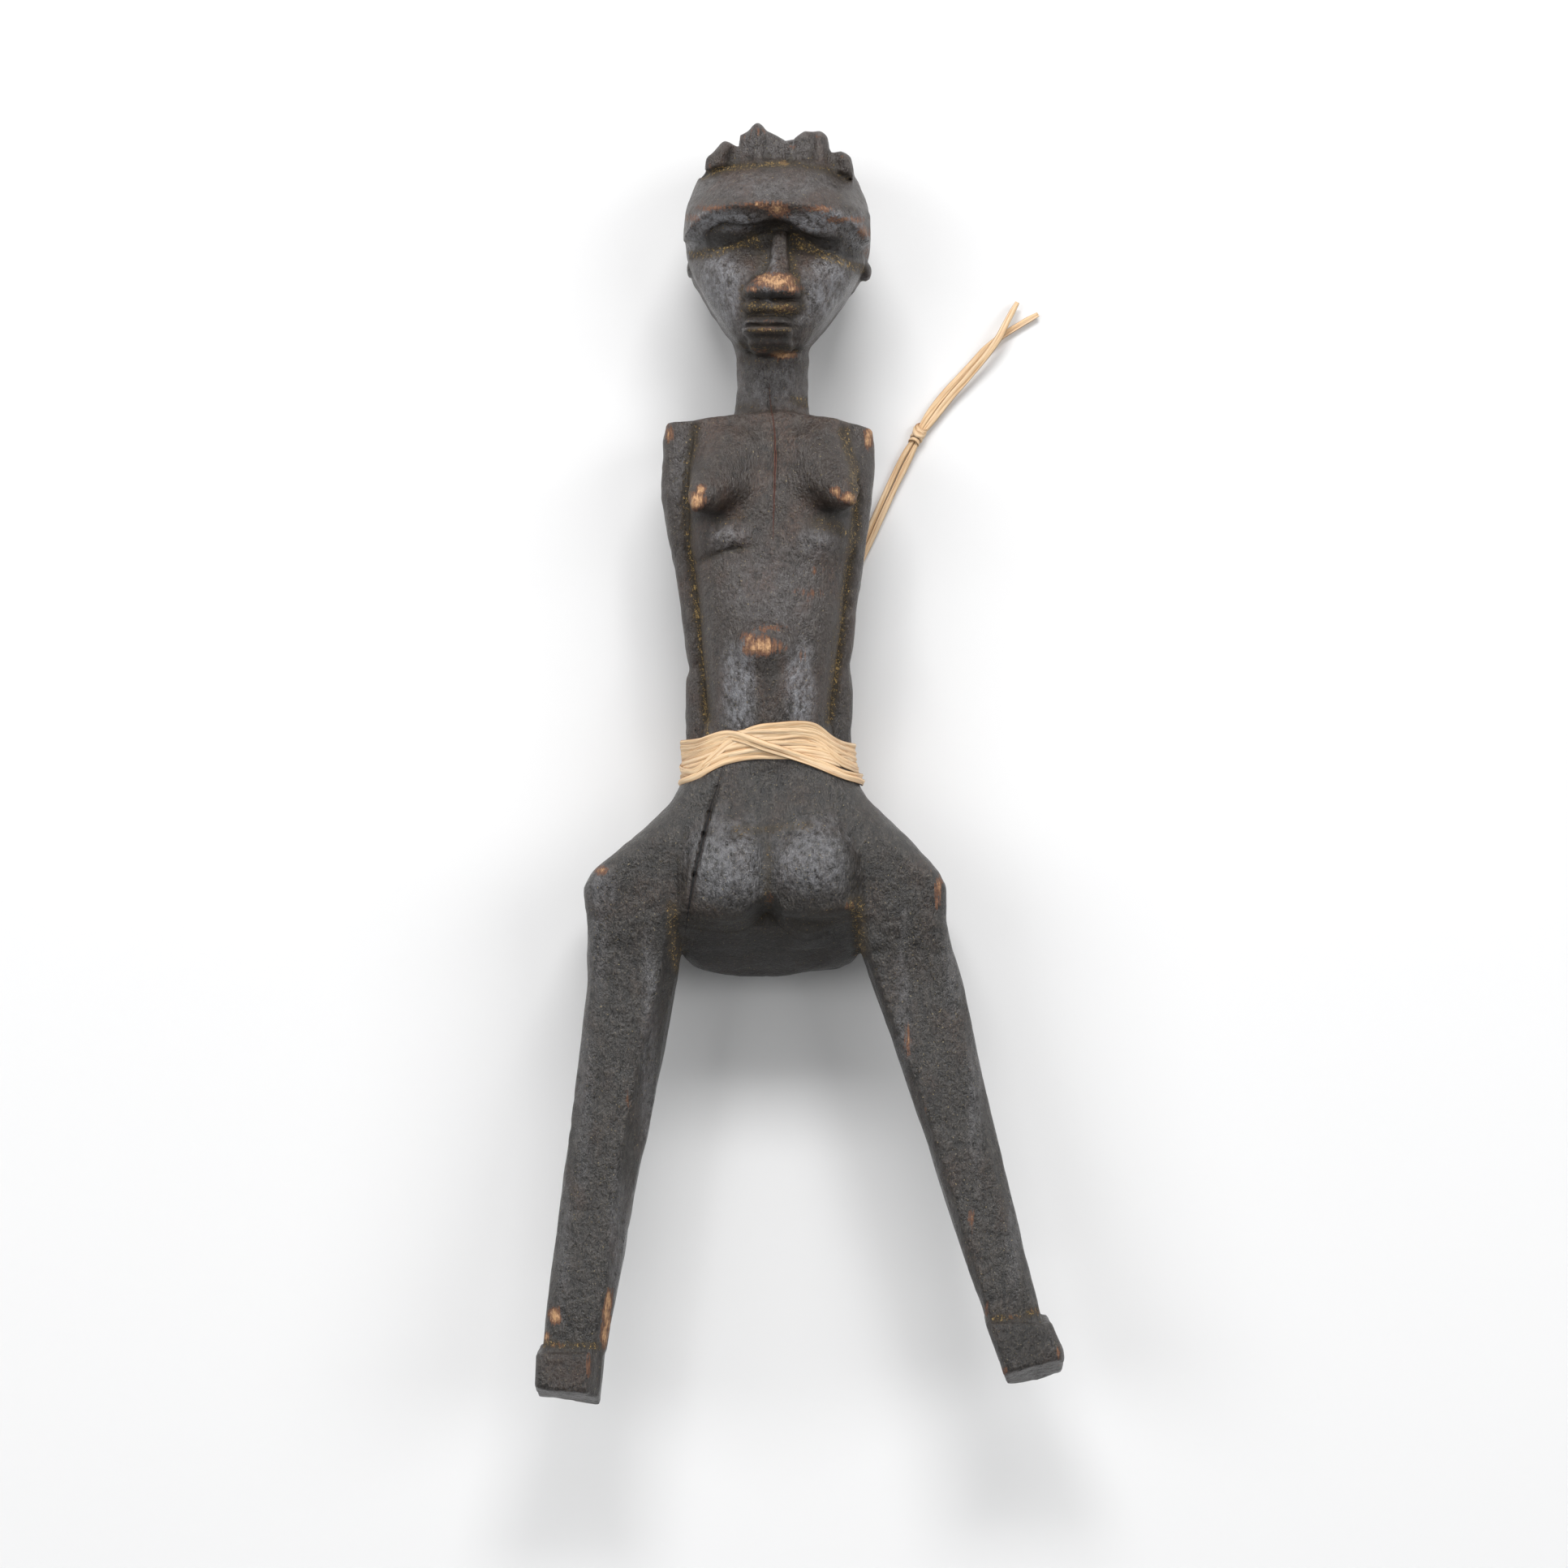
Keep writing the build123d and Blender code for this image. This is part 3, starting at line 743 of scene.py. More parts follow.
def carve_body(clay):
    """Trunk, arms, neck and hips."""
    clay.join(bar(TRUNK, 2.6), (-30, -14, 0), (22, 72, 40), 0.5)
    for arm in (LEFT_ARM, RIGHT_ARM):
        clay.join(bar(arm, 1.2), (-30, -12, 0), (22, 70, 40), 0.7)
    clay.cut(plane((-18.0, 63.7, 20), (0.084, -0.996, 0)), (-34, 50, 0), (22, 72, 44), 0.8)
    clay.cut(plane((7.5, 63.2, 20), (-0.19, -0.98, 0)), (-34, 50, 0), (22, 72, 44), 0.8)
    clay.join(bar(NECK, 1.5), (-20, 52, 0), (12, 90, 40), 1.6)
    # breasts: cones that lean outwards and towards the feet, undercut below
    clay.join(horn((-12.8, 53.8, 24.6), (-17.0, 48.8, 33.0), 8.0, 3.6), (-32, 34, 14), (2, 70, 44), 2.5)
    clay.join(horn((3.6, 54.0, 24.6), (7.6, 49.6, 33.0), 8.0, 3.6), (-12, 34, 14), (22, 70, 44), 2.5)
    clay.join(horn((-16.6, 49.8, 31.4), (-18.9, 46.6, 36.6), 3.9, 1.3), (-28, 38, 22), (-8, 60, 44), 0.9)
    clay.join(horn((7.2, 50.0, 31.4), (9.6, 47.4, 36.6), 3.9, 1.3), (-2, 38, 22), (18, 60, 44), 0.9)
    clay.cut(egg((-14.2, 41.4, 37.0), (7.6, 4.7, 6.6), 20), (-28, 28, 22), (0, 56, 46), 0.7)
    clay.cut(egg((5.4, 41.6, 37.0), (8.0, 4.7, 6.6), -14), (-8, 28, 22), (20, 56, 46), 0.7)
    # hollow between chest and ribs, the step under the ribs, belly and navel
    clay.cut(egg((-5.0, 56.5, 45.0), (12, 10, 15.4)), (-22, 40, 24), (14, 72, 48), 2.5)
    clay.join(egg((-12.4, 41.4, 23.0), (8.2, 4.6, 8.8), 8), (-28, 28, 14), (2, 54, 40), 0.9)
    clay.join(egg((1.8, 41.0, 22.6), (8.0, 5.4, 8.4), -6), (-12, 28, 14), (16, 54, 40), 2.5)
    clay.join(egg((-5.3, 12.0, 26.0), (6.2, 16.0, 8.2)), (-22, -12, 14), (12, 38, 42), 3.5)
    clay.join(egg((-6.3, 21.4, 32.8), (4.7, 3.8, 2.3)), (-18, 10, 22), (6, 34, 44), 2.6)
    clay.dent([(-18.6, 37.2), (-14.0, 38.9), (-11.0, 39.5)], 0.9, 0.45, 16.0)
    clay.dent([(-11.0, 39.5), (-8.0, 39.8)], 0.7, 0.25, 16.0)
    clay.dent([(-19.0, 62.0), (-20.4, 55.4), (-20.8, 48.0), (-20.1, 39.0), (-18.9, 30.0), (-17.8, 18.1),
               (-16.8, 8.0)], 1.3, 0.5, 12.0)
    clay.dent([(8.2, 61.0), (9.9, 54.7), (10.6, 48.0), (9.2, 37.5), (8.0, 27.0), (6.6, 16.6), (5.4, 8.0)],
              1.3, 0.5, 12.0)
    # hips, pelvis and buttocks
    clay.join(bar(HIPS, 2.0), (-48, -44, 0), (36, 8, 42), 2.5)
    clay.join(bar(PELVIS, 1.6), (-34, -36, 0), (24, 10, 44), 2.0)
    under = plane((-5.5, -26.6, 34.5), (0, -0.88, 0.475))

    def scallop(x):
        """How much lower the rim hangs under each pad, and how much higher between them."""
        bells = ((-13.6, 5.0), (1.6, 4.4), (-5.9, 2.4))
        left, right, middle = (np.exp(-(((x - c) / w) ** 2)) for c, w in bells)
        return 1.0 * left + 2.2 * right - 2.4 * middle

    def wedge(x, y, z):
        return np.maximum(scallop(x) - under(x, y, z), np.abs(x + 6.2) - 17.0)

    clay.cut(wedge, (-34, -50, -2), (22, -16, 44), 0.5)
    clay.join(bar(UNDERSIDE, 1.6), (-34, -48, 0), (24, -12, 44), 0.7)
    for side in (-1, 1):
        seat = (-5.5 + side * 9.6, -27.0, 11.0)
        clay.join_near(egg(seat, (10.6, 11.4, 11.0)), seat, 18, 2.5)
    clay.cut(groove([(-5.5, -14.0, -0.5), (-5.5, -26.0, 0.0), (-5.5, -38.0, 6.0)], 2.6)[0],
             (-14, -46, -4), (4, -6, 18), 1.8)
    # the two front pads with the notch above them and the groove between them
    clay.join(egg((-13.2, -19.6, 32.4), (7.2, 8.6, 5.8), -6), (-28, -40, 20), (0, -4, 46), 2.8)
    clay.join(egg((2.4, -19.4, 32.4), (7.4, 8.4, 5.8), 6), (-12, -40, 20), (18, -4, 46), 2.8)
    rim = plane((-5.5, -26.9, 36.0), (0, 0.93, -0.36))
    clay.cut(lambda x, y, z: rim(x, y, z) + scallop(x), (-24, -40, 29), (12, -20, 46), 0.8)
    shape, low, high = groove([(-6.0, -13.4, 37.2), (-5.8, -19.0, 38.4), (-5.9, -27.5, 37.8)], 1.9)
    clay.cut(shape, low, high, 1.4)
    shape, low, high = groove([(-11.8, -12.2, 36.4), (-5.0, -11.8, 36.8), (2.0, -11.2, 36.4)], 1.7)
    clay.cut(shape, low, high, 1.2)


def carve_legs(clay):
    """Two splayed square legs with bevelled edges, notched ankles and slanting soles."""
    clay.join(bar(LEFT_LEG, 0.6, 1.3, 1.5), (-56, -116, 0), (-12, -16, 46), 0.9)
    clay.join(bar(RIGHT_LEG, 0.6, 1.5, 1.3), (2, -110, 0), (56, -14, 46), 0.9)
    clay.join(bar(LEFT_FOOT, 0.5, 1.4, 1.6), (-58, -126, 0), (-28, -98, 46), 0.3)
    clay.join(bar(RIGHT_FOOT, 0.5, 1.4, 1.4), (26, -124, 0), (58, -94, 46), 0.3)
    for sole, faces in ((LEFT_SOLE, LEFT_SOLE_FACES), (RIGHT_SOLE, RIGHT_SOLE_FACES)):
        below = plane(sole, [-n for n in faces])
        clay.cut_near(below, sole, 16, 0.7)


def carve_head(clay):
    """Skull, face and crest."""
    clay.join(bar(FACE, 1.6), (-32, 70, -4), (24, 108, 44), 0.8)
    # the cheeks slope back to the jaw
    clay.cut(plane((-13.6, 84.0, 33.0), (0.60, 0.30, -0.74)), (-30, 72, 18), (-8, 94, 44), 1.2)
    clay.cut(plane((5.6, 84.0, 33.0), (-0.60, 0.30, -0.74)), (0, 72, 18), (20, 94, 44), 1.2)
    cranium = bar(CRANIUM, 2.0)
    brow_x = np.array(BROW_X, np.float32)

    def brow(x, y, z):
        brow = (BROW_EDGE, BROW_SLIT, BROW_RIDGE)
        edge, slit, ridge = (smooth(x, brow_x, np.array(v, np.float32)) for v in brow)
        # a facet from the ridge down to the lower edge, then a shelf that slopes back to the eye slit
        front = np.clip((z - 18) / 6, 0, 1)
        facet = 1.9 * np.clip((ridge - y) / (ridge - edge), 0, 1.15) * front
        proud = 0.5 * np.clip(1 - np.abs(y - ridge) / 1.6, 0, 1) * np.clip((z - 25) / 4, 0, 1)
        aside = np.clip(np.abs(x + 4.0) - 4, 0, 12.9)
        skin = 24.4 + np.sqrt(169 - aside**2)
        shelf = slit + (edge - slit) * np.clip((z - skin + 7.2 - 0.2 * aside) / 2.2, 0, 1)
        shelf = shelf - 4 * np.clip((20 - z) / 6, 0, 1)
        return soft_max(cranium(x, y, z) + facet - proud, (shelf - y) * 0.8, 0.25)

    clay.join(brow, (-32, 70, -4), (24, 122, 44), 0.4)
    clay.join(slab(CREST_BACK, 6.6, 23.0, 2.4), (-30, 98, 0), (22, 124, 36), 1.0)
    clay.join(slab(CREST_FRONT, 12.6, 27.0, 1.4), (-30, 98, 0), (22, 124, 36), 0.6)
    for line in VALLEYS:
        clay.dent(line, 1.9, 0.45, 23.0)
    for line in RIDGES:
        clay.dent(line, 1.8, -0.8, 22.0)
    clay.dent(CREST_GROOVE, 1.0, 1.0, 20.0)
    # nose, lip band, mouth and chin
    clay.join(bar(NOSE, 0.9), (-20, 76, 26), (10, 106, 46), 1.0)
    clay.join(bar(MUZZLE, 0.8), (-18, 68, 22), (8, 92, 42), 0.5)
    clay.join(egg((-3.6, 75.0, 23.0), (3.6, 1.2, 1.6)), (-14, 68, 16), (8, 82, 32), 1.2)
    # ears
    clay.join_near(egg((-20.2, 92.0, 17.5), (1.0, 1.8, 2.8)), (-20.2, 92.0, 17.5), 7, 0.5)
    clay.join_near(egg((12.3, 91.6, 17.5), (1.1, 1.6, 2.8)), (12.3, 91.6, 17.5), 7, 0.5)


def weather(clay):
    """Tool marks, uneven flats and dried grain, worked into the clay near its surface."""
    near = np.abs(clay.field) < 1.6
    i, j, k = np.nonzero(near)
    x, y, z = clay.axes[0][i], clay.axes[1][j], clay.axes[2][k]
    legs = np.clip((-30 - y) / 12, 0, 1)
    rough = np.clip((y - 60) / 6, 0, 1) * np.clip((92 - y) / 6, 0, 1)
    rough = rough + np.clip(np.abs(x + 5.7) - 13.5, 0, 1)
    rough = np.clip(rough, 0, 1) * (1 - legs)
    under = np.clip((-27 - y) / 3, 0, 1) * (np.abs(x + 5.7) < 16.5)
    uneven = (0.30 + 0.55 * under) * noise(x, y, z, (9, 13, 9), 1) + 0.12 * noise(x, y, z, (4, 5, 4), 5)
    ripple = 0.13 * noise(x, y, z, (4.5, 1.2, 5), 2) * np.clip(noise(x, y, z, (14, 14, 14), 6) + 0.35, 0, 1)
    hewn = 0.16 * noise(x, y, z, (1.6, 2.2, 2.4), 7)
    grain = 0.055 * noise(x, y, z, (1.0, 7, 1.0), 3)
    pits = 0.30 * np.clip(noise(x, y, z, (1.4, 2.2, 1.4), 4) - 0.45, 0, 1) * (0.5 + legs)
    clay.field[i, j, k] += uneven + ripple * (1 - legs) + hewn * rough + grain * (1 + 1.4 * legs) + pits
    for line in CRACKS:
        for (ax, ay, _), (bx, by, wide) in zip(line, line[1:]):
            clay.dent([(ax, ay), (bx, by)], 0.7, 3.4 * wide, 22.0)


# Places seen from the front: x, y, half width, half height and strength, then the lowest z.
WORN = [
    (-18.9, 48.6, 2.2, 2.0, 1.0, 26), (-18.2, 50.4, 1.2, 1.4, 0.9, 26), (6.6, 50.2, 1.6, 1.2, 0.9, 26),
    (8.8, 49.0, 1.9, 1.0, 1.0, 26), (10.4, 47.7, 0.8, 1.4, 0.8, 26),
    (-6.4, 21.6, 4.2, 2.0, 1.0, 26), (-4.6, 25.0, 3.6, 1.0, 0.45, 26), (0.6, 19.6, 1.5, 1.6, 0.4, 26),
    (-9.8, 23.4, 2.0, 1.2, 0.5, 26), (1.8, 31.4, 4.0, 1.0, 0.35, 26), (3.4, 35.6, 1.6, 0.8, 0.3, 26),
    (-24.0, 60.6, 0.9, 2.2, 0.8, 10), (12.6, 59.6, 1.0, 2.0, 0.9, 10), (13.0, 61.4, 1.2, 0.9, 0.8, 10),
    (-3.0, 75.3, 2.6, 0.75, 1.0, 18), (-6.8, 76.0, 2.2, 0.5, 0.55, 18),
    (-4.9, 88.8, 5.2, 1.7, 0.95, 34), (-8.6, 87.4, 1.9, 1.0, 0.8, 32), (-1.2, 87.4, 1.9, 1.0, 0.8, 32),
    (-2.6, 83.8, 3.0, 0.8, 0.6, 34),
    (-5.8, 79.9, 3.8, 0.35, 0.5, 34),
    (-4.2, 102.2, 2.4, 1.7, 0.9, 28), (-8.2, 102.9, 4.4, 0.8, 0.7, 24), (-15.2, 102.4, 4.6, 0.7, 0.6, 18),
    (-19.8, 100.4, 1.6, 1.0, 0.55, 10), (3.0, 102.2, 5.0, 0.8, 0.55, 24), (8.6, 100.2, 4.2, 0.8, 0.6, 18),
    (11.9, 97.8, 1.6, 1.4, 0.6, 10), (12.4, 94.2, 0.8, 1.6, 0.4, 10),
    (-13.2, 113.6, 1.6, 0.7, 0.22, 12), (-7.2, 116.4, 1.5, 1.2, 0.26, 12),
    (-10.0, 115.2, 1.0, 0.8, 0.2, 12),
    (2.2, 115.6, 2.4, 0.6, 0.22, 12), (7.4, 111.8, 1.6, 0.6, 0.3, 12), (-1.4, 113.6, 1.3, 0.7, 0.3, 12),
    (-16.6, 110.0, 0.5, 1.6, 0.25, 12), (-2.8, 110.6, 0.9, 0.5, 0.7, 20),
    (-36.6, -19.6, 1.6, 1.1, 0.8, 22), (25.6, -22.8, 0.9, 2.6, 0.75, 22),
    (25.4, -25.4, 0.7, 1.6, 0.5, 22),
    (-5.4, -24.6, 1.0, 1.4, 0.45, 30), (9.4, -26.2, 1.1, 0.8, 0.5, 26),
    (-31.6, -62.0, 0.8, 3.0, 0.35, 28),
    (20.0, -52.0, 0.9, 5.0, 0.3, 28), (31.8, -82.0, 0.8, 6.0, 0.3, 28),
    (-45.2, -101.6, 1.4, 1.5, 1.2, 20), (-46.4, -105.4, 0.8, 1.2, 1.0, 20),
    (-35.1, -98.6, 0.8, 2.6, 1.2, 24), (-35.5, -102.0, 0.9, 3.0, 1.2, 24),
    (-35.9, -105.2, 0.8, 2.6, 1.1, 24), (-44.6, -107.0, 2.4, 0.3, 0.9, 24),
    (-38.8, -110.6, 0.6, 2.6, 0.6, 28),
    (39.0, -101.6, 1.6, 0.5, 1.0, 24), (43.4, -100.6, 1.6, 0.4, 0.5, 24),
    (34.4, -100.4, 0.5, 2.0, 0.5, 22),
    (47.6, -108.4, 0.6, 2.4, 0.6, 20), (38.0, -111.6, 1.0, 1.2, 0.6, 20),
]
# Lines of dirt left in the carving's hollows: points, half width, strength and lowest z.
DIRT = [
    ([(-19.0, 62.0), (-20.4, 55.4), (-20.8, 48.0), (-20.1, 39.0), (-18.9, 30.0), (-17.8, 18.1),
      (-16.9, 8.0)],
     1.1, 0.75, 12),
    ([(-20.3, 40.0), (-18.9, 30.0), (-17.8, 18.1), (-16.9, 5.0)], 0.4, 1.3, 12),
    ([(8.2, 61.0), (9.9, 54.7), (10.6, 48.0), (9.2, 37.5), (8.0, 27.0), (6.6, 16.6),
      (5.4, 8.0)], 1.1, 0.9, 12),
    ([(9.2, 37.5), (8.0, 27.0), (6.6, 16.6), (5.4, 8.0)], 0.4, 1.3, 12),
    ([(-17.6, 108.2), (-15.4, 109.2), (-9.0, 110.0), (-2.2, 110.5)], 0.75, 1.0, 18),
    ([(-2.2, 110.5), (4.0, 109.7), (9.0, 107.6)], 0.7, 0.65, 18),
    ([(-20.2, 93.6), (-15.0, 94.2), (-10.0, 95.9), (-8.0, 96.8)], 0.7, 1.7, 20),
    ([(-8.4, 96.6), (-6.8, 94.6), (-6.4, 91.6)], 1.4, 0.75, 26),
    ([(-0.9, 97.0), (0.6, 95.4), (4.3, 93.6), (9.0, 92.0), (11.4, 91.0)], 0.8, 1.6, 20),
    ([(-1.4, 95.0), (-1.2, 91.0), (-0.4, 88.6)], 0.8, 0.8, 26),
    ([(-10.6, 87.6), (-10.4, 85.6), (-10.2, 83.2)], 0.9, 0.7, 26),
    ([(0.6, 87.0), (0.6, 84.0)], 0.9, 0.5, 26),
    ([(-9.0, 84.2), (-5.0, 83.8), (-0.8, 83.8)], 1.1, 1.3, 26),
    ([(-9.4, 79.9), (-5.6, 79.7), (-2.0, 79.9)], 0.45, 1.2, 26),
    ([(-11.0, 77.0), (-6.0, 76.3), (-1.0, 76.4)], 0.7, 0.7, 18),
    ([(-10.6, 74.4), (-4.0, 73.6)], 0.8, 0.5, 16),
    ([(-11.8, -12.4), (-5.0, -11.9), (1.8, -11.3)], 1.1, 0.65, 28),
    ([(-5.9, -15.0), (-5.8, -25.0)], 0.9, 0.55, 28),
    ([(-23.6, -26.4), (-23.0, -33.0), (-22.6, -37.6)], 1.3, 0.9, 4),
    ([(10.4, -25.6), (10.8, -30.0), (11.2, -34.6)], 1.5, 0.9, 4),
    ([(-20.0, -28.6), (-6.0, -30.0), (8.0, -28.0)], 2.4, 0.4, 8),
    ([(-15.0, 44.2), (-11.0, 45.6)], 1.2, 0.5, 18),
    ([(3.0, 44.6), (7.4, 43.4), (9.6, 41.6)], 1.7, 0.7, 18),
    ([(-18.4, 37.4), (-14.0, 39.0), (-9.0, 39.8)], 0.6, 0.35, 16),
    ([(-1.0, 67.0), (1.4, 66.4)], 0.9, 0.8, 12),
    ([(-11.0, 65.6), (-8.0, 66.0)], 0.8, 0.5, 12),
    ([(-47.2, -106.6), (-37.0, -107.2)], 0.7, 1.3, 26), ([(36.0, -102.2), (45.4, -100.4)], 0.6, 1.1, 24),
]
# Places rubbed to a gloss, also painted a lighter silvery grey there as a sheen: x, y, half width, half
# height, strength and lowest z.
GLOSSY_AND_SHEEN = [
    (-5.0, 106.0, 12.0, 2.6, 0.45, 20), (-13.0, 84.6, 3.4, 4.6, 0.7, 20), (4.6, 84.0, 3.6, 4.6, 0.7, 20),
    (-5.0, 115.0, 10.0, 3.0, 0.3, 12),
    (-13.6, 100.0, 6.6, 1.9, 1.9, 20), (4.6, 99.8, 6.4, 2.2, 1.9, 20), (-19.2, 96.8, 1.6, 2.6, 1.5, 14),
    (10.6, 96.6, 2.2, 2.6, 1.6, 16), (-5.0, 70.0, 6.0, 5.0, 0.6, 16), (-14.6, 87.0, 4.6, 7.4, 1.5, 16),
    (6.2, 87.0, 4.6, 7.8, 1.5, 16), (-5.6, 89.0, 1.6, 6.0, 1.2, 26),
    (-11.2, 80.8, 2.4, 1.2, 0.6, 20), (1.6, 81.6, 2.6, 1.2, 0.5, 20),
    (-11.4, 14.0, 3.0, 8.6, 1.7, 20), (0.2, 14.4, 2.6, 9.0, 1.7, 20), (-12.6, 42.0, 3.6, 2.6, 0.7, 20),
    (3.6, 41.0, 3.4, 2.4, 0.6, 20), (-22.0, 54.0, 2.0, 7.0, 0.4, 10), (-5.0, 31.0, 8.0, 9.0, 0.35, 20),
    (-13.2, -17.6, 7.0, 7.4, 1.1, 26), (2.0, -17.4, 7.0, 7.2, 1.1, 26),
    (-37.6, -34.0, 2.0, 12.0, 0.4, 10),
    (-39.8, -55.0, 1.6, 22.0, 0.4, 16), (-27.6, -60.0, 1.6, 26.0, 0.6, 16),
    (-33.0, -88.0, 2.0, 12.0, 0.6, 20),
    (19.0, -54.0, 1.4, 26.0, 0.5, 16), (28.4, -34.0, 1.8, 12.0, 0.4, 16),
    (32.4, -56.0, 1.4, 20.0, 0.4, 16),
    (-43.6, -86.0, 1.4, 14.0, 0.4, 20), (39.4, -84.0, 1.4, 14.0, 0.4, 20),
    (-36.6, -22.6, 3.0, 4.0, 0.6, 16),
]
# Cracks: points with the half width at each.
CRACKS = [
    [(-5.6, 70.0, 0.02), (-5.2, 65.4, 0.05), (-4.6, 61.4, 0.08), (-4.4, 57.0, 0.12), (-4.6, 51.0, 0.11),
     (-4.8, 46.0, 0.07), (-4.9, 41.0, 0.02)],
    [(-14.2, -0.9, 0.03), (-15.2, -4.2, 0.09), (-16.6, -9.0, 0.18), (-17.6, -13.0, 0.26),
     (-19.4, -20.6, 0.28),
     (-20.4, -26.6, 0.16), (-21.0, -31.0, 0.03)],
]
# Places painted darker as shade, in sockets, undercuts and recesses: x, y, half width, half height,
# strength and lowest z.
PAINTED_SHADE_SPOTS = [
    (-13.4, 96.4, 5.6, 1.5, 0.9, 20), (-7.0, 97.6, 2.6, 1.8, 0.8, 20), (3.0, 96.0, 5.4, 1.6, 0.9, 20),
    (9.0, 94.0, 3.0, 1.2, 0.8, 16), (-5.0, 86.2, 5.4, 0.8, 1.0, 24), (-5.4, 81.9, 3.8, 0.8, 1.0, 24),
    (-5.4, 78.4, 4.4, 1.0, 0.8, 22), (-5.0, 76.4, 6.0, 0.8, 0.9, 16), (-16.4, 45.6, 3.6, 1.2, 0.8, 18),
    (6.4, 46.0, 4.2, 1.2, 0.8, 18), (-5.6, 18.0, 2.0, 7.0, 0.6, 20), (-6.0, 55.0, 8.0, 1.0, 0.35, 20),
    (-5.8, -19.0, 1.4, 5.0, 0.7, 28), (-5.8, -14.6, 2.6, 1.0, 0.5, 28), (-6.0, -33.0, 16.0, 6.6, 0.75, 0),
    (-5.0, 4.0, 14.0, 2.0, 0.3, 18), (-43.0, -111.0, 4.0, 3.0, 0.3, 20),
    (41.0, -107.0, 5.0, 4.0, 0.5, 20),
    (-24.6, -30.0, 1.6, 8.0, 0.5, 10),
]


def near_line(x, y, line):
    """How far each point is from a chain of points, and how far along the chain it lies."""
    away, along = np.full(x.shape, 99.0), np.zeros(x.shape)
    for i, (a, b) in enumerate(zip(line, line[1:])):
        step = (b[0] - a[0], b[1] - a[1])
        t = np.clip(((x - a[0]) * step[0] + (y - a[1]) * step[1]) / (step[0] ** 2 + step[1] ** 2), 0, 1)
        gap = np.hypot(x - a[0] - t * step[0], y - a[1] - t * step[1])
        along = np.where(gap < away, i + t, along)
        away = np.minimum(away, gap)
    return away, along


def crack_gap(x, y, z):
    """How far each point lies to the side of the crack at its height, and that crack's half width."""
    side, width = 9.0, 0.0
    for line in CRACKS:
        rows = np.array(line[::-1], np.float32)
        here = (y > rows[0, 1] - 9) & (y < rows[-1, 1] + 9) & (z > 22)
        side = np.where(here, x - np.interp(y, rows[:, 1], rows[:, 0]), side)
        width = np.where(here, np.interp(y, rows[:, 1], rows[:, 2], 0, 0), width)
    return side, width


def blurred(field, times):
    """The field averaged over its neighbours again and again."""
    for _ in range(times):
        for axis in range(3):
            ahead, behind = np.roll(field, 1, axis), np.roll(field, -1, axis)
            field = (ahead + behind + 2 * field) / 4
    return field


def wood_mesh():
    margin = 3
    clay = Clay(WOOD_LOW - margin, WOOD_HIGH + margin, VOXEL)
    carve_body(clay)
    carve_legs(clay)
    carve_head(clay)
    weather(clay)
    grid = openvdb.FloatGrid(4.0)
    grid.copyFromArray(np.clip(clay.field, -4, 4))
    grid.transform = openvdb.createLinearTransform(VOXEL)
    points, _, quads = grid.convertToPolygons(isovalue=0.0, adaptivity=0.0)
    return clay, points + clay.low, quads


clay, points, quads = wood_mesh()
mesh = bpy.data.meshes.new("figure_wood")
mesh.from_pydata((points * MM).tolist(), [], [f[::-1] for f in quads.tolist()])
mesh.update()
figure = bpy.data.objects.new("figure_wood", mesh)
bpy.context.collection.objects.link(figure)
if 2 * len(quads) > MOST_TRIANGLES:
    thin = figure.modifiers.new("thin", "DECIMATE")
    thin.ratio = MOST_TRIANGLES / (2 * len(quads))
    graph = bpy.context.evaluated_depsgraph_get()
    slim = bpy.data.meshes.new_from_object(figure.evaluated_get(graph), depsgraph=graph)
    figure.modifiers.remove(thin)
    figure.data = mesh = slim
    mesh.name = "figure_wood"
mesh.polygons.foreach_set("use_smooth", [True] * len(mesh.polygons))


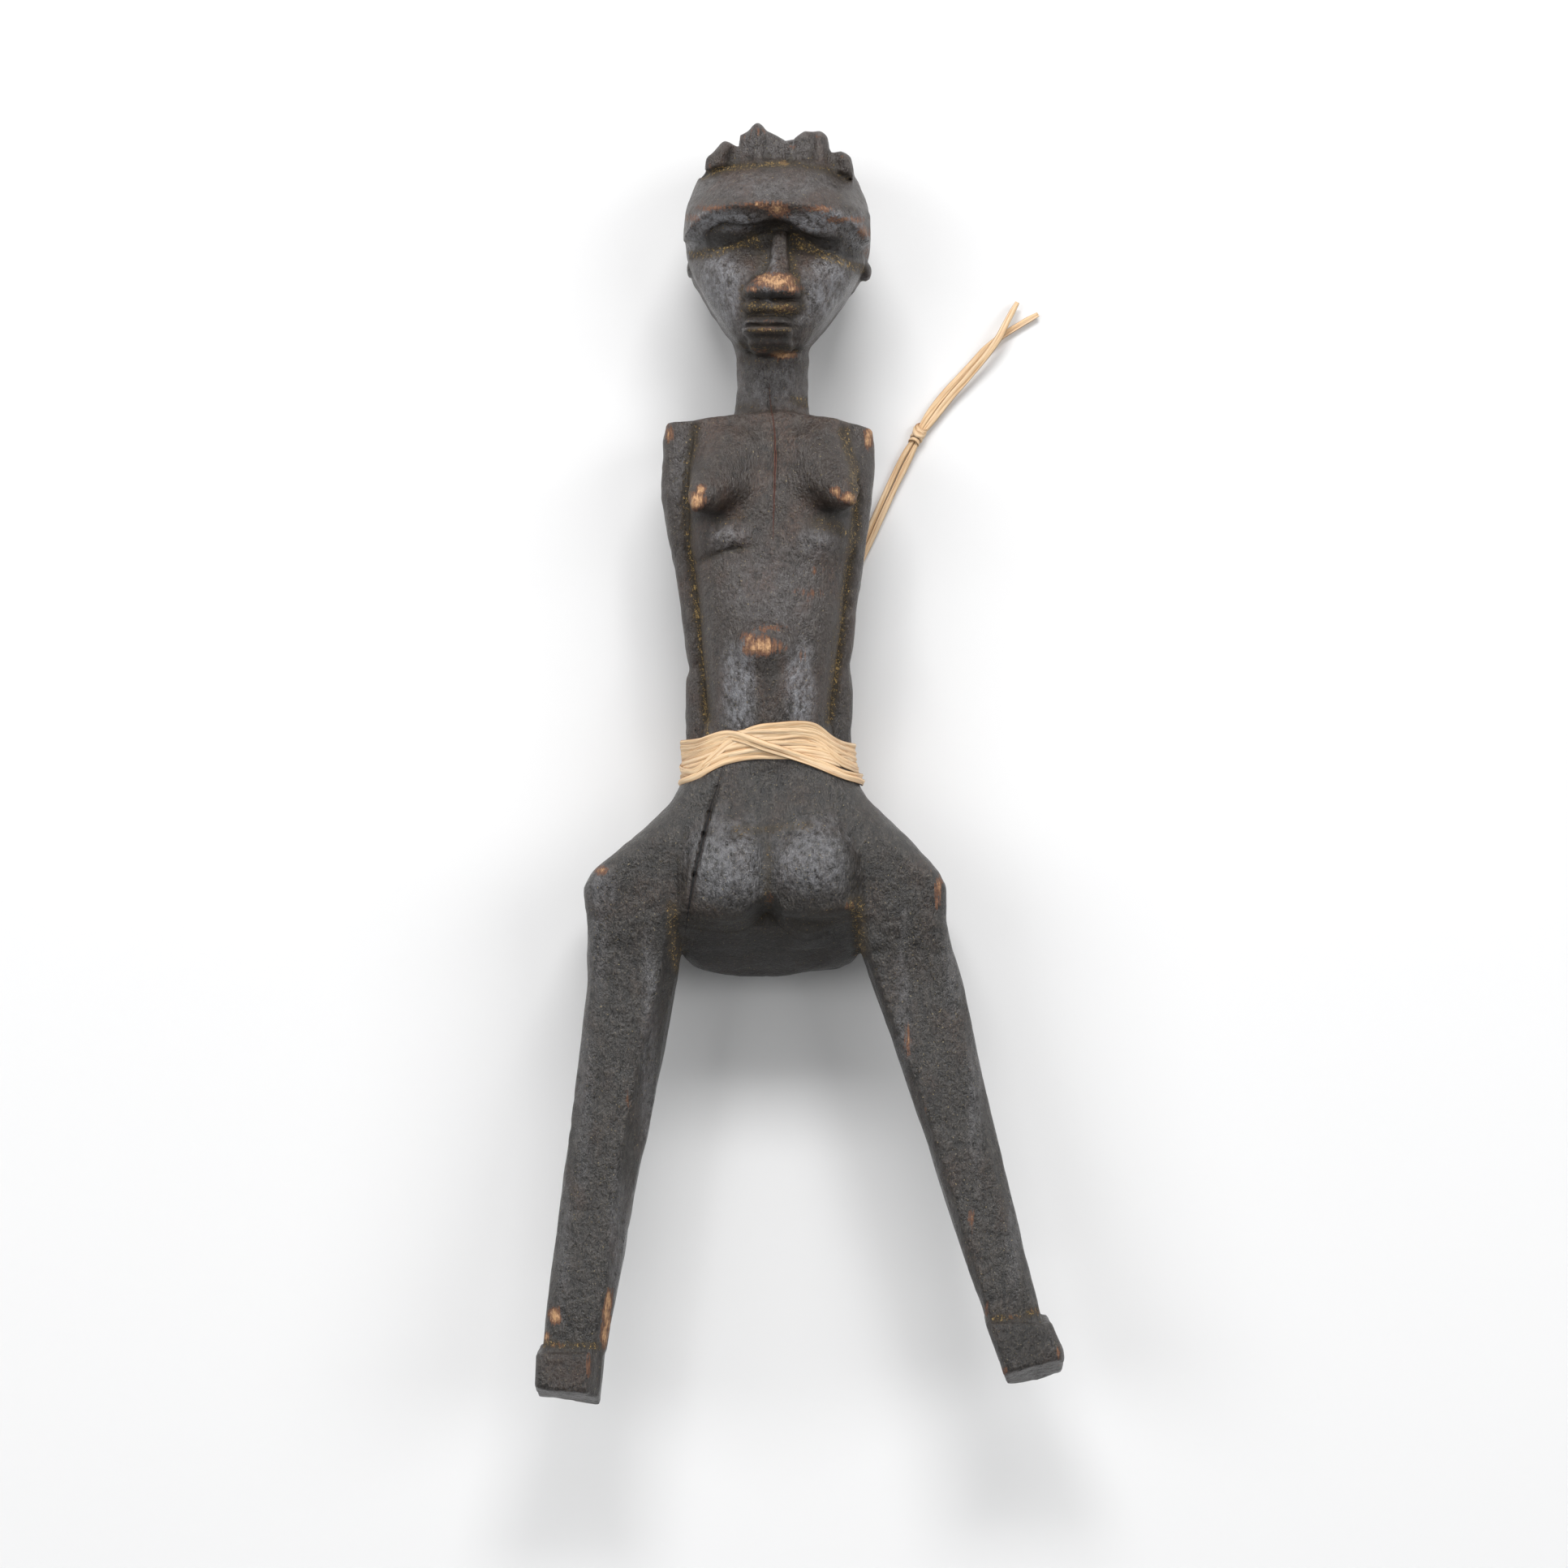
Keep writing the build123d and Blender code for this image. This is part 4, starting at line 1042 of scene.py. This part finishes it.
def paint(mesh, clay):
    """Store where the wood is worn, dirty, cracked and glossy, and where sheen and shade are painted on,
    for its material.
    """
    flat = np.empty(len(mesh.vertices) * 3, np.float32)
    mesh.vertices.foreach_get("co", flat)
    points = flat.reshape(-1, 3) / MM
    x, y, z = points.T
    fine = clay.sample(blurred(clay.field, 3), points)
    broad = clay.sample(blurred(clay.field, 14), points)
    edge = np.clip(fine * 9 - 0.25, 0, 1) * 0.5 + np.clip(broad * 2.2 - 0.55, 0, 1) * 0.5
    hollow = np.clip(-fine * 10 - 0.2, 0, 1) * 0.6 + np.clip(-broad * 3.0 - 0.3, 0, 1) * 0.6
    patchy = noise(x, y, z, (2.2, 3.4, 2.2), 21)
    fibre = noise(x, y, z, (0.7, 4.0, 0.9), 22)
    wear = 0.25 * edge * np.clip(noise(x, y, z, (6, 9, 6), 23) + 0.2, 0, 1)
    x, y = seen(x, y, z)
    for cx, cy, rx, ry, strength, low in WORN:
        spot = 1.25 - np.hypot((x - cx) / rx, (y - cy) / ry) + 0.35 * patchy
        wear = np.maximum(wear, np.clip(spot, 0, 1) * strength * (z > low))
    dirt = 0.5 * hollow
    for line, width, strength, low in DIRT:
        away, _ = near_line(x, y, line)
        dirt = np.maximum(dirt, np.clip(1.5 - away / width + 0.4 * patchy, 0, 1) * strength * (z > low))
    gloss_and_sheen = np.zeros(x.shape)
    for cx, cy, rx, ry, strength, low in GLOSSY_AND_SHEEN:
        spot = 1.3 - np.hypot((x - cx) / rx, (y - cy) / ry) + 0.25 * patchy
        gloss_and_sheen = np.maximum(gloss_and_sheen, np.clip(spot * 1.4, 0, 1) * strength * (z > low))
    side, width = crack_gap(x, y, z)
    # painted shade: hollows and the listed places are marked to be darkened as shade
    painted_shade = 0.7 * hollow
    for cx, cy, rx, ry, strength, low in PAINTED_SHADE_SPOTS:
        spot = 1.3 - np.hypot((x - cx) / rx, (y - cy) / ry) + 0.2 * patchy
        painted_shade = np.maximum(painted_shade, np.clip(spot * 1.6, 0, 1) * strength * (z > low))
    block = 1.4 - np.hypot((x + 43.4) / 4.0, (y + 110.8) / 3.4) + 0.3 * patchy
    warm = np.maximum(np.clip((y + 4) / 20, 0, 1), np.clip(block, 0, 1) * 1.6 * (z > 28))
    wear = np.clip(wear + 0.10 * fibre * (wear > 0.05), 0, 1)
    layers = {"warm": warm, "wear": wear, "dirt": np.clip(dirt, 0, 1), "gloss_and_sheen": gloss_and_sheen,
              "painted_shade": np.clip(painted_shade, 0, 1), "crack": side, "crack_width": width}
    store(mesh, layers)


paint(mesh, clay)


def old_coat(s, fibre, fine, blotch, mottle, warm, gloss_and_sheen):
    """The dark coat over brown wood, with a silvery sheen painted on as a lighter grey where it is glossy.
    """
    coat = s.mix(s.ramp(fibre, 0.3, 0.75), rgb("191614"), rgb("332e2a"))
    brown = s.times(s.ramp(blotch, 0.46, 0.72), s.ramp(fine, 0.38, 0.64))
    coat = s.mix(s.times(warm, 0.45), coat, rgb("38281f"))
    brown = s.times(brown, s.plus(0.35, s.times(warm, 0.4)))
    coat = s.mix(brown, coat, rgb("573a2a"))
    coat = s.mix(s.times(s.ramp(fine, 0.5, 0.68), 0.6), coat, rgb("5b564f"))
    coat = s.mix(s.times(s.ramp(mottle, 0.5, 0.68), 0.36), coat, rgb("5d5751"))
    coat = s.mix(s.times(s.ramp(mottle, 0.47, 0.34), 0.6), coat, rgb("0e0c0b"))
    # painted sheen: glossy places are lightened towards silvery grey, standing in for reflected lamplight
    painted_sheen = s.times(s.ramp(mottle, 0.32, 0.66), gloss_and_sheen)
    return s.mix(s.times(painted_sheen, 0.48, clamp=True), coat, rgb("86868a"))


def bare_wood(s, fibre, fine, crumb, wear):
    """Where the coat is worn through, along the fibres, and the colour of the wood there."""
    frayed = s.plus(wear, s.times(s.minus(fibre, 0.5), 1.9))
    frayed = s.plus(frayed, s.times(s.minus(crumb, 0.5), 0.8))
    rubbed = s.times(s.ramp(frayed, 0.22, 0.5), s.ramp(wear, 0.05, 0.2))
    wood = s.mix(s.ramp(frayed, 0.5, 1.15), rgb("644230"), rgb("cda074"))
    return rubbed, s.mix(s.times(s.ramp(fine, 0.45, 0.7), 0.6), wood, rgb("7c5538"))


def dirtied(s, color, fine, crumb, dirt):
    """The colour with yellow dirt over it in specks and crusts, and where the crusts are."""
    speck = s.noise((5.0, 5.0, 5.0), 2.0)
    crust = s.plus(s.times(dirt, 0.5), s.times(s.minus(speck, 0.5), 1.5))
    crust = s.plus(crust, s.times(s.minus(crumb, 0.5), 1.6))
    crusted = s.times(s.ramp(crust, 0.53, 0.7), s.ramp(dirt, 0.08, 0.3))
    color = s.mix(s.times(s.ramp(dirt, 0.1, 0.9), 0.4), color, rgb("41351f"))
    color = s.mix(crusted, color, s.mix(s.ramp(fine, 0.4, 0.62), rgb("5f4c2a"), rgb("bd9c60")))
    dust = s.ramp(s.noise((2.2, 2.2, 2.2), 1.0), 0.745, 0.78)
    grit = s.ramp(s.noise((4.2, 3.6, 4.2), 1.0), 0.72, 0.77)
    return s.mix(s.times(s.math("MAXIMUM", dust, grit), 0.75), color, rgb("a08f66")), crusted


def cracked(s, color, warm):
    """The colour with the cracks, black below the waist and reddish above it, their cores painted dark as
    the shade inside the gap, and where they gape.
    """
    wander = s.times(s.minus(s.noise((0.5, 0.3, 0.5), 4.0), 0.5), 0.6)
    across = s.math("ABSOLUTE", s.plus(s.attribute("crack"), wander))
    across = s.math("DIVIDE", across, s.math("MAXIMUM", s.attribute("crack_width"), 0.001))
    gap = s.ramp(across, 1.1, 0.75)
    lips = s.times(s.ramp(across, 2.0, 1.1), 0.7)
    color = s.mix(lips, color, s.mix(warm, rgb("2a1610"), rgb("8a4527")))
    # painted shade: the crack's core is mixed towards near black, standing in for the shade inside the gap
    return s.mix(gap, color, s.mix(warm, rgb("030202"), rgb("30130b"))), gap


def dark_wood():
    s = Shader("dark_wood")
    fibre = s.noise((2.4, 0.15, 2.4), 5.0, rough=0.65)
    fine = s.noise((3.4, 1.7, 3.4), 4.0, rough=0.62)
    mottle = s.noise((0.95, 0.6, 0.95), 4.0, rough=0.72)
    blotch = s.noise((0.16, 0.10, 0.16), 3.0)
    crumb = s.noise((1.7, 1.5, 1.7), 3.0)
    hammered = s.noise((1.5, 1.1, 1.5), 2.0)
    wear, dirt, gloss_and_sheen, painted_shade, warm = (s.attribute(n) for n in ("wear", "dirt", "gloss_and_sheen", "painted_shade", "warm"))
    coat = old_coat(s, fibre, fine, blotch, mottle, warm, gloss_and_sheen)
    # painted shade: the shaded places are mixed towards near black
    coat = s.mix(s.times(painted_shade, 0.7), coat, rgb("12100d"))
    rubbed, wood = bare_wood(s, fibre, fine, crumb, wear)
    color, crusted = dirtied(s, s.mix(rubbed, coat, wood), fine, crumb, dirt)
    color, gap = cracked(s, color, warm)
    s.link(s.surface.inputs["Base Color"], color)
    rough = s.plus(0.27, s.times(s.ramp(fine, 0.36, 0.66), 0.2))
    rough = s.plus(rough, s.times(s.ramp(blotch, 0.4, 0.65), 0.08))
    rough = s.minus(rough, s.times(s.math("MINIMUM", gloss_and_sheen, 1.0), 0.17))
    dull = s.math("MAXIMUM", s.math("MAXIMUM", rubbed, dirt), s.math("MAXIMUM", gap, s.times(painted_shade, 0.7)))
    s.link(s.surface.inputs["Roughness"], s.plus(rough, s.times(dull, 0.4), clamp=True))
    s.surface.inputs["Specular IOR Level"].default_value = 0.7
    height = s.plus(s.times(fibre, 0.4), s.times(fine, 0.6))
    for layer, share in ((hammered, 0.4), (crusted, 0.4), (mottle, 1.3)):
        height = s.plus(height, s.times(layer, share))
    height = s.minus(height, s.times(gap, 2.5))
    s.link(s.surface.inputs["Normal"], s.bump(height, 0.0004, 0.9))
    return s.material


hang(figure, "carved_figure", dark_wood())


# ---------------------------------------------------------------- raffia round the waist
WAIST_X, WAIST_Z = -5.7, 20.6           # the axis that the turns go round
TABLE_STEP, LEVEL_STEP = 4, 2.0         # degrees, and millimetres up the waist
STEP_RADIANS = 0.0698                   # TABLE_STEP, rounded
# Heights of each turn from behind, round by the left, the front and the right, to behind again.
RISE_AT = [0.0, 0.22, 0.33, 0.405, 0.5, 0.61, 0.67, 0.78, 1.0]
STRAND_A = [
    [-1.5, -3.0, -2.2, 0.9, 1.8, 1.6, 0.4, 0.2, 0.05],
    [0.05, -0.6, 0.1, 2.2, 3.4, 2.9, 1.5, 1.0, 1.6],
    [1.6, -0.8, -1.6, 3.6, 6.5, 6.4, 3.9, 2.6, 3.2],
]
STRAND_B = [
    [-1.5, 0.6, 1.5, 3.4, 4.5, 4.2, 0.6, -0.6, 0.05],
    [0.05, 2.0, 2.6, 4.6, 5.7, 5.1, 2.9, 1.2, 1.6],
    [1.6, 3.2, 3.7, 5.2, 3.1, 0.0, -2.2, -2.9, 3.2],
]


def waist_radius(clay):
    """How far the taut raffia stands from the waist's axis, by angle, at a few heights."""
    heights = np.arange(-6.0, 10.1, LEVEL_STEP)
    angles = np.radians(np.arange(0, 360, TABLE_STEP))
    steps = np.arange(6, 24, 0.15)
    rows = []
    for height in heights:
        x = WAIST_X + np.outer(np.cos(angles), steps)
        z = WAIST_Z + np.outer(np.sin(angles), steps)
        spots = np.stack([x, np.full(x.shape, height), z], -1).reshape(-1, 3)
        inside = clay.sample(clay.field, spots).reshape(x.shape) < 0
        skin = steps[inside.shape[1] - 1 - np.argmax(inside[:, ::-1], axis=1)]
        # a taut strand bridges the hollows, so each angle takes the widest chord over it
        taut = skin.copy()
        for i in range(len(angles)):
            for ahead in range(1, 12):
                for behind in range(1, 12):
                    j, k = (i + ahead) % len(angles), i - behind
                    p = skin[k] * np.array([cos(-behind * STEP_RADIANS), sin(-behind * STEP_RADIANS)])
                    q = skin[j] * np.array([cos(ahead * STEP_RADIANS), sin(ahead * STEP_RADIANS)])
                    crossing = p[0] - p[1] * (q[0] - p[0]) / (q[1] - p[1])
                    taut[i] = max(taut[i], crossing)
        rows.append(taut)
    return heights, np.array(rows)


def on_waist(table, angle, height, lift):
    """Points at these angles in degrees and heights, lift off the wood."""
    heights, radius = table
    column = np.mod(angle, 360) / TABLE_STEP
    low = np.floor(column).astype(int)
    part = column - low
    row = np.clip((height - heights[0]) / LEVEL_STEP, 0, len(heights) - 1.001)
    level = row.astype(int)
    up = row - level
    wide = radius.shape[1]
    lower = radius[level, low % wide] * (1 - part) + radius[level, (low + 1) % wide] * part
    upper = radius[level + 1, low % wide] * (1 - part) + radius[level + 1, (low + 1) % wide] * part
    reach = lower * (1 - up) + upper * up + lift
    turn = np.radians(angle)
    return np.stack([WAIST_X + reach * np.cos(turn), height, WAIST_Z + reach * np.sin(turn)], -1)


def winding(table, name, turns, lift, seed, topmost):
    """One strand's turns round the waist, each split into two narrow pleated strips."""
    parts = []
    for turn, rises in enumerate(turns):
        share = np.linspace(-0.02, 1.02, 170)
        angle = -90 - 360 * share
        height = smooth(*(np.asarray(v, np.float32) for v in (share, RISE_AT, rises)))
        rise = lift + (0.34 if turn == topmost else 0.1 * turn)
        for strip, aside in enumerate((-0.46, 0.46)):
            key = seed + 20 * turn + 7 * strip
            wander = 0.22 * noise(share * 60, share * 0, share * 0, (9, 9, 9), key)
            wave = 0.10 * noise(share * 60, share * 0, share * 0, (6, 9, 9), key + 10)
            near = 1 - 0.25 * (turn == topmost)
            spots = on_waist(table, angle, height + aside * near + wander, rise + wave + 0.12 * strip)
            ends = on_waist(table, angle, height + aside * near + wander, rise + 3.0)
            parts.append(ribbon(name, spots, unit(ends - spots), 1.25, 0.42, key, roll=-8, pleats=1.0))
    return joined(name, parts)


table = waist_radius(clay)
strand_a = winding(table, "raffia_strand_a", STRAND_A, 0.25, 31, 2)
strand_b = winding(table, "raffia_strand_b", STRAND_B, 0.45, 131, 2)
HITCH = np.array([-4.5, -0.6, 5.9])
# For each ring of the hitch: place from its middle, direction, then as in KNOT_RINGS.
HITCH_RINGS = [
    ((-1.5, 0.2, 1.2), (1, 0.15, 0), 2.9, 12, 11, 1.9, 0.8, 0.22),
    ((0.2, -0.2, 1.3), (1, -0.1, 0), 3.1, -20, 13, 2.0, 0.8, 0.24),
    ((1.9, 0.3, 1.2), (1, 0.1, 0), 2.8, 16, 17, 1.8, 0.8, 0.22),
    ((-0.9, 0.4, -0.1), (1, -0.2, 0), 2.3, -14, 19, 1.8, 0.8, 0.26),
    ((1.0, -0.3, -0.1), (1, 0.2, 0), 2.4, 10, 23, 1.8, 0.8, 0.26),
]
hitch = joined("raffia_hitch", [turned_ring(HITCH + place, *rest) for place, *rest in HITCH_RINGS])
hang(strand_a, "winding_strand_a", raffia)
hang(strand_b, "winding_strand_b", raffia)
hang(hitch, "waist_hitch", raffia)


def soft_light(name, place, size, power, color):
    data = bpy.data.lights.new(name, "AREA")
    data.shape = "RECTANGLE"
    data.size, data.size_y = size
    data.energy = power
    data.color = color
    lamp = bpy.data.objects.new(name, data)
    lamp.location = place
    lamp.rotation_euler = (-Vector(place)).to_track_quat("-Z", "Y").to_euler()
    bpy.context.collection.objects.link(lamp)


# For each light: place, size, power, colour.
LIGHTS = {
    "light_top": ((0.0, 1.3, 1.25), (1.2, 0.4), 29, (0.985, 0.99, 1.0)),
    "light_left": ((-0.98, 0.25, 1.2), (0.7, 1.0), 8.8, (0.97, 0.985, 1.0)),
    "light_right": ((0.98, 0.25, 1.2), (0.7, 1.0), 8.8, (0.97, 0.985, 1.0)),
    "light_above": ((0.0, 0.0, 1.6), (1.0, 1.0), 2.8, (0.97, 0.985, 1.0)),
    "light_below": ((0.0, -1.0, 1.15), (0.9, 0.08), 1.3, (0.96, 0.98, 1.0)),
}
for name, settings in LIGHTS.items():
    soft_light(name, *settings)
world = bpy.data.worlds.new("world")
world.use_nodes = True
backdrop = world.node_tree.nodes["Background"]
backdrop.inputs["Color"].default_value = (0.97, 0.985, 1.0, 1)
# a faint fill on the object, and a pale wall where a low view looks past the floor
rays = world.node_tree.nodes.new("ShaderNodeLightPath")
pale = world.node_tree.nodes.new("ShaderNodeMath")
pale.operation = "MULTIPLY_ADD"
pale.inputs[1].default_value, pale.inputs[2].default_value = 0.85, 0.025
world.node_tree.links.new(rays.outputs["Is Camera Ray"], pale.inputs[0])
world.node_tree.links.new(pale.outputs[0], backdrop.inputs["Strength"])
bpy.context.scene.world = world
bpy.context.scene.view_settings.view_transform = "Standard"

floor_mesh = bpy.data.meshes.new("floor")
floor_mesh.from_pydata([(-3, -3, 0), (3, -3, 0), (3, 3, 0), (-3, 3, 0)], [], [(0, 1, 2, 3)])
floor = bpy.data.objects.new("floor", floor_mesh)
bpy.context.collection.objects.link(floor)
paper = Shader("paper")
paper.surface.inputs["Base Color"].default_value = rgb("ecebea")
paper.surface.inputs["Roughness"].default_value = 0.9
floor_mesh.materials.append(paper.material)
